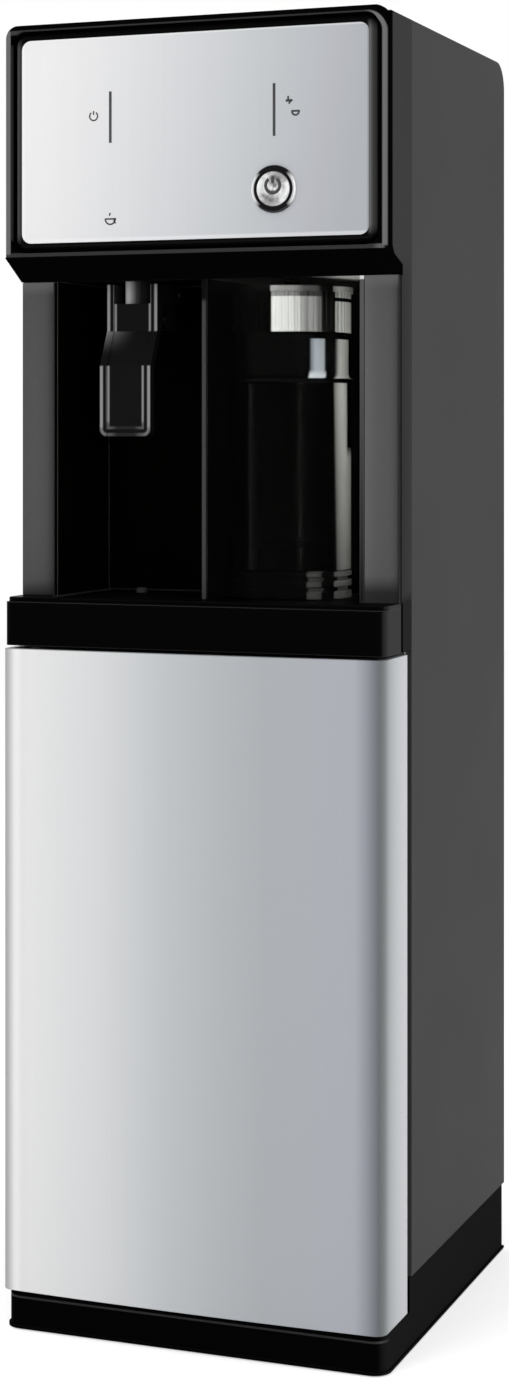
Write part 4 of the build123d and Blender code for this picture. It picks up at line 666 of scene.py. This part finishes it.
def spun_chrome(name):
    """Spun chrome, with bright and dark sectors of painted reflection that turn about the button's middle.
    """
    material, tree, shader = blank(name)
    x, y, z = place_of(tree)
    across, up, radius = from_middle(x, z, CAP_LOW, CAP_HIGH)
    sectors, first_sector, ring_pitch = 2.0, 0.6, 1100.0
    surface = place_group(tree, "grain", Grain_Size=0.002, Cloud_Size=0.0045, Base_Roughness=0.25,
                          Roughness_Spread=0.1)
    # Painted reflection in bright and dark sectors round the middle, with spun rings
    turn = math("MULTIPLY_ADD", math("ARCTAN2", up, across), sectors, first_sector)
    wander = math("MULTIPLY", math("SUBTRACT", surface["Tone"], 0.5), 5.0)
    tone = math("MULTIPLY_ADD", math("COSINE", math("ADD", turn, wander)), 0.3, 0.62)
    ring = math("COSINE", math("MULTIPLY", radius, ring_pitch))
    tone = math("MULTIPLY_ADD", ring, 0.10, tone)
    surfaced(shader, ramp_along(tone, ((0.2, 0.16), (0.6, 0.6), (1.0, (0.97, 0.97, 0.98)))), surface)
    laid_over(shader, rise(radius, 0.0140, 0.0146), 0.3)
    gloss(shader, 0.2, 0.2)
    return material


def trim_strip(name):
    """The divider's grey front strip, painted dark at its top for the shade under the head."""
    material = coated(name, (0.05, 0.05, 0.05), rough=0.35, specular=0.1)
    shader, (x, y, z) = opened(material)
    # Painted shade at the top, under the head
    laid_over(shader, rise(z, BAY_TOP - 0.0150, BAY_TOP - 0.0115), 0.002)
    return material


def bezel_chrome(name):
    """Chrome that is bright at both sides, with painted dark reflections above and below where it looks away
    from the light, and dark along its inner edge.
    """
    material = brushed(name, (0.8, 0.8, 0.81), rough=0.2, spread=0.03, stretch=(60, 60, 60), bump=0.01)
    shader, (x, y, z) = opened(material)
    across, up, radius = from_middle(x, z, BEZEL_LOW, BEZEL_HIGH)
    aside = math("DIVIDE", math("ABSOLUTE", across), radius)
    # Painted dark reflections above and below, and dark along the inner edge
    dark = math("MAXIMUM", rise(aside, 0.88, 0.66), rise(radius, 0.0158, 0.0152))
    laid_over(shader, dark, (0.012, 0.012, 0.014))
    gloss(shader, metallic=0.3)
    return material


def cartridge_plastic(name):
    """White cartridge plastic with a blue collar and faint mould lines round the body."""
    material = coated(name, (0.75, 0.75, 0.74), rough=0.4, specular=0.4)
    shader, (x, y, z) = opened(material)
    low, high = FILTER_LOW.z, FILTER_HIGH.z
    collar = times(rise(z, high - 0.0560, high - 0.0555), rise(z, high - 0.0420, high - 0.0425))
    laid_over(shader, collar, (0.03, 0.14, 0.42))
    for at in (low + 0.030, high - 0.0620):
        laid_over(shader, rise(away(z, at), 0.0009, 0.0004), 0.4)
    return material


def silver_sheet(name, across, stops):
    """Pearl silver paint with painted light and reflections running across a sheet as its tone, with faint
    brush lines.
    """
    material, tree, shader = blank(name)
    across = across(*place_of(tree))
    lines = place_group(tree, "brushed", Stretch=(900.0, 60.0, 4.0), Base_Roughness=0.34,
                        Roughness_Spread=0.1)
    edges = place_group(tree, "edges", Radius=0.0008)
    shade = rise(lines["Tone"], 0.0, 1.0, 0.975, 1.025)
    # Painted light and reflections from the stops, varied a little by the brush lines
    tone = add_node(tree, "ShaderNodeVectorMath", [(0, ramp_along(across, stops)), ("Scale", shade)],
                    operation="SCALE").outputs[0]
    surfaced(shader, tone, lines, edges["Normal"])
    gloss(shader, 0.1, 0.0)
    return material


# Painted light and reflections across the two sheets: place along X, and on round the door's corner, colour
DOOR_STOPS = (
    (-0.1535, 0.34), (-0.1495, 0.41), (-0.1465, 0.59), (-0.1435, 0.78), (-0.1405, 0.81),
    (-0.1375, 0.73), (-0.1300, 0.74), (-0.0736, (0.65, 0.66, 0.67)), (-0.0144, (0.50, 0.52, 0.54)),
    (0.0243, (0.44, 0.46, 0.48)), (0.0625, (0.40, 0.42, 0.44)), (0.1340, (0.40, 0.41, 0.45)),
    (0.1428, (0.30, 0.31, 0.35)), (0.1495, (0.20, 0.21, 0.23)), (0.1545, (0.14, 0.15, 0.16)),
    (0.1590, (0.18, 0.20, 0.20)), (0.1670, (0.33, 0.35, 0.36)), (0.1750, (0.45, 0.47, 0.49)),
    (0.1890, (0.56, 0.59, 0.61)), (0.2040, (0.66, 0.66, 0.69)),
)
PLATE_STOPS = (
    (-0.1342, 0.79), (-0.0835, (0.73, 0.73, 0.74)), (-0.0092, (0.61, 0.62, 0.64)),
    (0.0632, (0.50, 0.52, 0.54)), (0.1104, (0.44, 0.45, 0.48)), (0.1352, (0.41, 0.43, 0.46)),
)


def door_paint(name):
    """The door's paint, whose painted light and reflections go on round its rounded right corner."""
    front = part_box("door_panel")[0].y

    def round_corner(x, y, z):
        """The place along X, and past the middle the depth behind the front added to it."""
        return math("ADD", x, times(math("SUBTRACT", y, front), math("GREATER_THAN", x, 0.0)))

    return silver_sheet(name, round_corner, DOOR_STOPS)


def plate_paint(name):
    """The control plate's paint, with its painted light on a slant, a painted highlight round its rim and
    painted shade at its right edge.
    """
    low, high = PLATE_LOW, PLATE_HIGH
    middle = (low.z + high.z) / 2

    def slanted(x, y, z):
        """The place along X, moved to the left with height."""
        return math("MULTIPLY_ADD", math("SUBTRACT", z, middle), -0.18, x)

    material = silver_sheet(name, slanted, PLATE_STOPS)
    shader, (x, y, z) = opened(material)
    # Painted highlight along the left edge, the foot and the top
    foot = rise(z, low.z + 0.0036, low.z + 0.0022)
    top = rise(z, high.z - 0.0018, high.z - 0.0008)
    rim = math("MAXIMUM", rise(x, low.x + 0.0032, low.x + 0.0018), math("MAXIMUM", foot, top))
    laid_over(shader, math("MULTIPLY", rim, 0.4), (0.88, 0.88, 0.89))
    # Painted shade at the right edge
    laid_over(shader, rise(x, high.x - 0.0022, high.x, 0.0, 0.6), 0.05)
    return material


class CoolerSizes(bpy.types.PropertyGroup):
    """Sizes of the marks on the control plate and the push button."""

    icon_line: bpy.props.FloatProperty(
        name="Icon line", description="Width of the icons' lines", default=0.0010, unit="LENGTH")
    icon_proud: bpy.props.FloatProperty(
        name="Icon height", description="How far the printed icons stand proud", default=0.00008,
        unit="LENGTH")
    icon_radius: bpy.props.FloatProperty(
        name="Icon radius", description="Radius of the power icon's ring", default=0.0033, unit="LENGTH")
    symbol_radius: bpy.props.FloatProperty(
        name="Symbol radius", description="Radius of the ring on the button", default=0.0056, unit="LENGTH")
    symbol_line: bpy.props.FloatProperty(
        name="Symbol line", description="Width of the symbol's lines", default=0.0025, unit="LENGTH")


class CoolerColours(bpy.types.PropertyGroup):
    """Colours of the main finishes."""

    casing: bpy.props.FloatVectorProperty(name="Casing", description="Side sheets, roof and back",
                                          default=(0.042, 0.042, 0.042), subtype="COLOR")
    black: bpy.props.FloatVectorProperty(name="Mouldings", description="Black mouldings on the front",
                                         default=(0.0016, 0.0016, 0.0016), subtype="COLOR")
    jamb: bpy.props.FloatVectorProperty(name="Jambs", description="Grey plates beside the bays",
                                        default=(0.085, 0.085, 0.086), subtype="COLOR")
    window: bpy.props.FloatVectorProperty(name="Window", description="Tint of the hot tank's window",
                                          default=(0.95, 0.96, 0.94), subtype="COLOR")
    mark: bpy.props.FloatVectorProperty(name="Marks", description="Printed icons and light bars when off",
                                        default=(0.06, 0.06, 0.062), subtype="COLOR")


def finishes():
    """All materials by name."""
    tones = bpy.context.scene.cooler_colours
    casing, black, jamb, window, mark = (tuple(getattr(tones, key)) for key in CoolerColours.__annotations__)
    return {
        "casing": coated("casing_powder_coat", casing, rough=0.5, grain=0.0012, bump=0.12, specular=0.04),
        "cheek": cheek_plastic("cheek_plastic", casing),
        # Painted highlight on the edges and painted sheen on the sides
        "black": coated("black_moulding", black, rough=0.35, grain=0.0006, bump=0.05, specular=0.005,
                        edge_highlight=0.006, side_sheen=0.006),
        "plinth": plinth_black("plinth_black", black),
        # Painted highlight on the deck's edges and painted sheen on its sides
        "deck": coated("deck_black", black, rough=0.3, grain=0.0006, bump=0.04, specular=0.005,
                       edge_highlight=0.06, side_sheen=0.034),
        "head": ring_black("head_black", black),
        "inside": lined_black("bay_black"),
        "gloss": carrier_black("carrier_black"),
        "lever": lever_black("lever_black"),
        "jamb": jamb_plastic("jamb_grey", jamb),
        "trim": trim_strip("trim_strip"),
        "door": door_paint("door_pearl_paint"),
        "plate": plate_paint("plate_satin"),
        "bezel": bezel_chrome("bezel_chrome"),
        "spun": spun_chrome("spun_chrome"),
        "steel": brushed("brushed_steel", (0.60, 0.60, 0.61), stretch=(500.0, 500.0, 30.0)),
        "zinc": brushed("galvanised_sheet", (0.42, 0.43, 0.45), rough=0.42, spread=0.2,
                        stretch=(60.0, 60.0, 60.0)),
        "wire": brushed("spring_wire", (0.5, 0.5, 0.5), rough=0.25),
        "glass": bottle_glass("tank_glass"),
        "cap": cap_metal("tank_cap_metal"),
        "base": streaked("tank_base_metal", BASE_STOPS, rough=0.15),
        "nozzle": streaked("nozzle_chrome", NOZZLE_STOPS, metallic=0.0),
        "window": see_through("tinted_window", window, ior=1.06, rough=0.01),
        "mark": coated("mark_ink", mark, rough=0.5, grain=0.0004, specular=0.2),
        "liner": coated("liner_grey", (0.22, 0.22, 0.23), rough=0.5, specular=0.3),
        "white": coated("white_plastic", (0.75, 0.75, 0.74), rough=0.4, specular=0.4),
        "blue": coated("blue_plastic", (0.05, 0.18, 0.5), rough=0.4, specular=0.4),
        "red": coated("red_plastic", (0.5, 0.02, 0.015), rough=0.3, specular=0.4),
        "green": coated("green_plastic", (0.02, 0.28, 0.06), rough=0.3, specular=0.4),
        "board": coated("board_green", (0.01, 0.1, 0.03), rough=0.35, grain=0.002, specular=0.4),
        "rubber": coated("rubber", (0.012, 0.012, 0.012), rough=0.75, grain=0.0007, bump=0.2, specular=0.2),
        "magnet": coated("magnet", (0.05, 0.05, 0.055), rough=0.45, grain=0.0005, specular=0.5),
        "foam": coated("closed_foam", (0.62, 0.56, 0.4), rough=0.85, spread=0.2, grain=0.0025, bump=0.5,
                       specular=0.2),
        "dark_wire": brushed("dark_wire", (0.02, 0.02, 0.02), rough=0.4),
        "cartridge": cartridge_plastic("cartridge_plastic"),
        "hose": see_through("clear_hose", (0.85, 0.88, 0.9), rough=0.25, ior=1.3),
    }


# The finish of every node, by the finish's name
FINISH_NODES = {
    "casing": "side_panels roof grille_knob compressor condenser",
    "cheek": "cheeks",
    "plinth": "plinth",
    "deck": "deck deck_plate",
    "head": "head_frame",
    "inside": "niche_liner",
    "black": "drip_tray drip_grille tap_body tap_plunger service_recess cord_gland switch_housing",
    "gloss": "panel_carrier",
    "lever": "tap_lever",
    "jamb": "jambs",
    "trim": "window_trim",
    "door": "door_panel",
    "plate": "control_plate",
    "bezel": "button_bezel",
    "spun": "button_cap",
    "steel": "back_screws hinge_pins lever_pin cold_tank",
    "zinc": "back_panel door_posts door_strike partition tank_shelf",
    "wire": "button_spring",
    "dark_wire": "plunger_spring",
    "glass": "tank_glass",
    "cap": "tank_cap",
    "base": "tank_base",
    "nozzle": "tap_nozzle",
    "window": "tank_window",
    "mark": "light_bars",
    "liner": "door_liner",
    "white": "filter_head inlet_valve water_ports",
    "cartridge": "filter_1 filter_2",
    "blue": "cold_drain_cap",
    "red": "hot_drain_cap heat_rocker",
    "green": "cool_rocker",
    "board": "control_board",
    "rubber": "feet compressor_mounts",
    "magnet": "door_magnet",
    "foam": "cold_tank_foam",
    "hose": "hoses",
}
LOOK = {}


class COOLER_OT_finishes(bpy.types.Operator):
    """Give every solid of the cooler its finish"""

    bl_idname = "cooler.finishes"
    bl_label = "Finishes"

    def execute(self, context):
        LOOK.update(finishes())
        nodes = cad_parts
        dressed = [(node, LOOK[look]) for look, names in FINISH_NODES.items() for node in names.split()]
        if sorted(name for name, material in dressed) != sorted(nodes):
            raise ValueError("every node needs one finish")
        for name, material in dressed:
            for place in nodes[name].material_slots:
                place.material = material
        return {"FINISHED"}


# Marks on the plate and the button


def plate_stroke(centre, size, turn, y, proud):
    """A flat stroke on the front, turned about Y, as a thin rounded block."""
    bpy.ops.mesh.primitive_cube_add(size=1.0, location=(centre[0], y - proud / 2, centre[1]),
                                    rotation=(0.0, turn, 0.0), scale=(size[0], proud, size[1]))
    stroke = settle(bpy.context.object)
    edit(stroke, "EDGE")
    pick_edges(stroke, lambda a, b: abs((a - b).y) > proud / 2)
    bpy.ops.mesh.bevel(offset=min(size) * 0.45, segments=4, affect="EDGES")
    bpy.ops.object.mode_set(mode="OBJECT")
    return stroke


def plate_arc(centre, radius, line, start, end, y, proud, steps=28):
    """A flat ring or part of a ring on the front, from one angle to another, clockwise from the top."""
    bpy.ops.mesh.primitive_plane_add(size=line, location=(centre[0], y, centre[1] + radius),
                                     rotation=(pi / 2, 0.0, 0.0))
    arc = settle(bpy.context.object)
    edit(arc, "VERT")
    mesh = bmesh.from_edit_mesh(arc.data)
    keep = [v for v in mesh.verts if v.co.x <= centre[0]]
    for vert in keep:
        vert.select_set(True)
        vert.co.x = centre[0]
    bmesh.update_edit_mesh(arc.data)
    bpy.ops.mesh.select_all(action="INVERT")
    bpy.ops.mesh.delete(type="VERT")
    bpy.ops.mesh.select_all(action="SELECT")
    middle = (centre[0], y, centre[1])
    if start:
        bpy.ops.transform.rotate(value=start, orient_axis="Y", center_override=middle)
    bpy.ops.mesh.spin(steps=steps, angle=end - start, center=middle, axis=(0.0, 1.0, 0.0))
    bpy.ops.mesh.select_all(action="SELECT")
    bpy.ops.mesh.remove_doubles(threshold=1e-6)
    bpy.ops.mesh.extrude_region_move(TRANSFORM_OT_translate={"value": (0.0, -proud, 0.0)})
    bpy.ops.object.mode_set(mode="OBJECT")
    return arc


def power_sign(centre, radius, line, y, proud):
    """The open ring with an upright stroke, as on any power switch."""
    gap = 0.62
    return [
        plate_arc(centre, radius, line, gap, 2 * pi - gap, y, proud),
        plate_stroke((centre[0], centre[1] + radius * 0.75), (line, radius * 0.95), 0.0, y, proud),
    ]


def cup_sign(centre, radius, line, y, proud):
    """A round cup seen from the side, with its rim, its handle and a wisp of steam."""
    x, z = centre
    return [
        plate_arc((x, z), radius, line, pi / 2, 3 * pi / 2, y, proud),
        plate_stroke((x, z), (radius * 2.2, line), 0.0, y, proud),
        plate_arc((x + radius * 1.15, z - radius * 0.35), radius * 0.42, line * 0.8, 0.0, pi, y, proud, 12),
        plate_stroke((x - radius * 0.1, z + radius * 0.85), (line, radius * 0.6), 0.35, y, proud),
    ]


def tap_sign(centre, radius, line, y, proud):
    """A tap with a cup below its spout."""
    x, z = centre
    cup_x = x + radius * 0.75
    return [
        plate_stroke((x - radius * 0.45, z + radius * 1.15), (radius * 1.3, line * 1.3), 0.0, y, proud),
        plate_stroke((x - radius * 0.6, z + radius * 1.6), (line, radius * 0.7), 0.0, y, proud),
        plate_arc((x + radius * 0.2, z + radius * 0.55), radius * 0.6, line, 0.0, pi / 2, y, proud, 12),
        plate_arc((cup_x, z - radius * 0.75), radius * 0.65, line, pi / 2, 3 * pi / 2, y, proud, 16),
        plate_stroke((cup_x, z - radius * 0.7), (radius * 1.6, line), 0.0, y, proud),
    ]


# name, maker, place across and up, how much larger than the power icon, how much bolder
ICONS = (
    ("power_icon", power_sign, (-0.0804, 0.9324), 1.0, 1.1),
    ("heat_icon", tap_sign, (0.0802, 0.9324), 1.3, 1.4),
    ("cup_icon", cup_sign, (-0.0665, 0.8536), 1.25, 1.2),
)
SIGN_ABOVE_MIDDLE = 0.0025


class COOLER_OT_icons(bpy.types.Operator):
    """Print the icons on the control plate"""

    bl_idname = "cooler.icons"
    bl_label = "Icons"

    def execute(self, context):
        sizes = context.scene.cooler_sizes
        deselect()
        for name, maker, centre, larger, bolder in ICONS:
            strokes = maker(centre, sizes.icon_radius * larger, sizes.icon_line * bolder, PLATE_LOW.y,
                            sizes.icon_proud)
            dress(finish_mesh(join(strokes, name)), LOOK["mark"], "casing")
        return {"FINISHED"}


class COOLER_OT_button_sign(bpy.types.Operator):
    """Inlay the power sign in the push button"""

    bl_idname = "cooler.button_sign"
    bl_label = "Button sign"

    def execute(self, context):
        sizes = context.scene.cooler_sizes
        centre = ((CAP_LOW.x + CAP_HIGH.x) / 2, (CAP_LOW.z + CAP_HIGH.z) / 2 + SIGN_ABOVE_MIDDLE)
        deselect()
        strokes = power_sign(centre, sizes.symbol_radius, sizes.symbol_line, CAP_LOW.y, sizes.icon_proud)
        dress(finish_mesh(join(strokes, "button_sign")), LOOK["mark"], "button")
        return {"FINISHED"}


# Studio


# name, place, size across and up, power in watts, whether gloss shows it
LAMPS = (
    ("front_lamp", (-1.1, -2.6, 1.7), (1.6, 1.6), 22.0, False),
    ("left_lamp", (-2.3, -1.0, 1.1), (0.5, 1.8), 8.0, True),
    ("strip_lamp", (1.5, -2.0, 1.1), (0.3, 1.7), 9.0, True),
    ("side_lamp", (2.6, -0.2, 1.3), (1.2, 1.6), 9.0, False),
    ("top_lamp", (0.0, -0.4, 2.9), (1.6, 1.6), 10.0, False),
)
LAMP_TARGET = Vector((0.0, 0.0, 0.5))
# black cards that only gloss sees: name, place, turn in degrees, size
FLAGS = (
    ("front_flag", (-0.9, -2.9, 1.4), (90.0, 0.0, -18.0), (2.6, 3.4)),
    ("ceiling_flag", (0.0, -0.6, 3.2), (0.0, 0.0, 0.0), (4.0, 4.0)),
)
FLAG_GREY = 0.004
FLOOR_SIZE, FLOOR_GREY, FLOOR_GLOW = 12.0, 0.94, 0.45
AMBIENT, BACKGROUND = 0.55, 1.0
CAMERA_PLACE, CAMERA_TURN = (0.73836, -1.96585, 0.69291), 20.79
SENSOR_WIDTH, LENS, LENS_SHIFT = 36.0, 67.79, -0.1884
WHITE = (1.0, 1.0, 1.0, 1.0)


def background_rays(tree):
    """A mask that is 1 for the rays that show the background: camera, gloss and glass."""
    path = add_node(tree, "ShaderNodeLightPath").outputs
    seen = math("MAXIMUM", path["Is Camera Ray"], path["Is Glossy Ray"])
    return math("MAXIMUM", seen, path["Is Transmission Ray"])


def stage_plane(name, size, place, grey, roughness):
    """A matt plane of the studio."""
    bpy.ops.mesh.primitive_plane_add(size=size, location=place)
    plane = bpy.context.object
    plane.name = name
    material, tree, shader = blank(name)
    shader.inputs["Base Color"].default_value = solid(grey)
    shader.inputs["Roughness"].default_value = roughness
    gloss(shader, 0.0)
    plane.data.materials.append(material)
    return plane


def set_floor():
    """A white floor, lifted towards the white of the background."""
    floor = stage_plane("studio_floor", FLOOR_SIZE, (0.0, 0.0, 0.0), FLOOR_GREY, 0.9)
    tree = floor.active_material.node_tree
    shader = tree.nodes["Principled BSDF"]
    glow = math("MULTIPLY", background_rays(tree), FLOOR_GLOW)
    lift = add_node(tree, "ShaderNodeEmission", [("Color", WHITE), ("Strength", glow)])
    both = add_node(tree, "ShaderNodeAddShader", [(0, shader.outputs[0]), (1, lift.outputs[0])])
    tree.links.new(both.outputs[0], tree.nodes["Material Output"].inputs[0])


def set_flags():
    """The black cards, which only gloss sees."""
    for name, place, turn, size in FLAGS:
        flag = stage_plane(name, 1.0, place, FLAG_GREY, 1.0)
        edit(flag)
        bpy.ops.mesh.select_all(action="SELECT")
        bpy.ops.transform.resize(value=(size[0], size[1], 1.0))
        bpy.ops.object.mode_set(mode="OBJECT")
        flag.rotation_euler = [radians(angle) for angle in turn]
        flag.visible_camera = flag.visible_diffuse = flag.visible_shadow = False
        flag.visible_transmission = flag.visible_volume_scatter = False


def set_world(scene):
    """A white background, with a weaker even light from it."""
    world = bpy.data.worlds.new("studio")
    scene.world = world
    world.use_nodes = True
    tree = world.node_tree
    tree.nodes.clear()
    light = []
    for strength in (AMBIENT, BACKGROUND):
        light.append(add_node(tree, "ShaderNodeBackground", [("Color", WHITE), ("Strength", strength)]))
    mixed = add_node(tree, "ShaderNodeMixShader", [(0, background_rays(tree)), (1, light[0].outputs[0]),
                                                   (2, light[1].outputs[0])])
    add_node(tree, "ShaderNodeOutputWorld", [("Surface", mixed.outputs[0])])


def set_lamps(scene):
    """The area lamps, all aimed at the middle of the cooler."""
    for name, place, size, power, shows in LAMPS:
        light = bpy.data.lights.new(name, "AREA")
        light.shape = "RECTANGLE"
        light.size, light.size_y = size
        light.energy = power
        lamp = bpy.data.objects.new(name, light)
        lamp.location = place
        lamp.visible_glossy = shows
        lamp.rotation_euler = (LAMP_TARGET - Vector(place)).to_track_quat("-Z", "Y").to_euler()
        scene.collection.objects.link(lamp)


def set_camera(scene):
    """The camera of the photograph: level, turned to the left, with its lens shifted down."""
    view = bpy.data.cameras.new("photo_camera")
    view.sensor_width = SENSOR_WIDTH
    view.lens = LENS
    view.shift_y = LENS_SHIFT
    camera = bpy.data.objects.new("photo_camera", view)
    camera.location = CAMERA_PLACE
    camera.rotation_euler = (radians(90.0), 0.0, radians(CAMERA_TURN))
    scene.collection.objects.link(camera)
    scene.camera = camera
    scene.view_settings.view_transform = "Standard"


class COOLER_OT_stage(bpy.types.Operator):
    """Set the floor, the black cards, the world, the lamps and the camera"""

    bl_idname = "cooler.stage"
    bl_label = "Studio"

    def execute(self, context):
        deselect()
        set_floor()
        set_flags()
        set_world(context.scene)
        set_lamps(context.scene)
        set_camera(context.scene)
        return {"FINISHED"}


STEPS = ("finishes", "icons", "button_sign", "stage")


class COOLER_PT_panel(bpy.types.Panel):
    """Lists the cooler's sizes, colours and steps"""

    bl_idname = "COOLER_PT_panel"
    bl_label = "Water cooler"
    bl_space_type = "VIEW_3D"
    bl_region_type = "UI"
    bl_category = "Cooler"

    def draw(self, context):
        for holder in (context.scene.cooler_sizes, context.scene.cooler_colours):
            for name in holder.__annotations__:
                self.layout.prop(holder, name)
        for step in STEPS:
            self.layout.operator("cooler." + step)


CLASSES = (CoolerSizes, CoolerColours, COOLER_OT_finishes, COOLER_OT_icons, COOLER_OT_button_sign,
           COOLER_OT_stage, COOLER_PT_panel)


def register():
    for item in CLASSES:
        bpy.utils.register_class(item)
    bpy.types.Scene.cooler_sizes = bpy.props.PointerProperty(type=CoolerSizes)
    bpy.types.Scene.cooler_colours = bpy.props.PointerProperty(type=CoolerColours)


def unregister():
    del bpy.types.Scene.cooler_colours
    del bpy.types.Scene.cooler_sizes
    for item in reversed(CLASSES):
        bpy.utils.unregister_class(item)


def main():
    register()
    for step in STEPS:
        getattr(bpy.ops.cooler, step)()


if __name__ == "__main__":
    main()
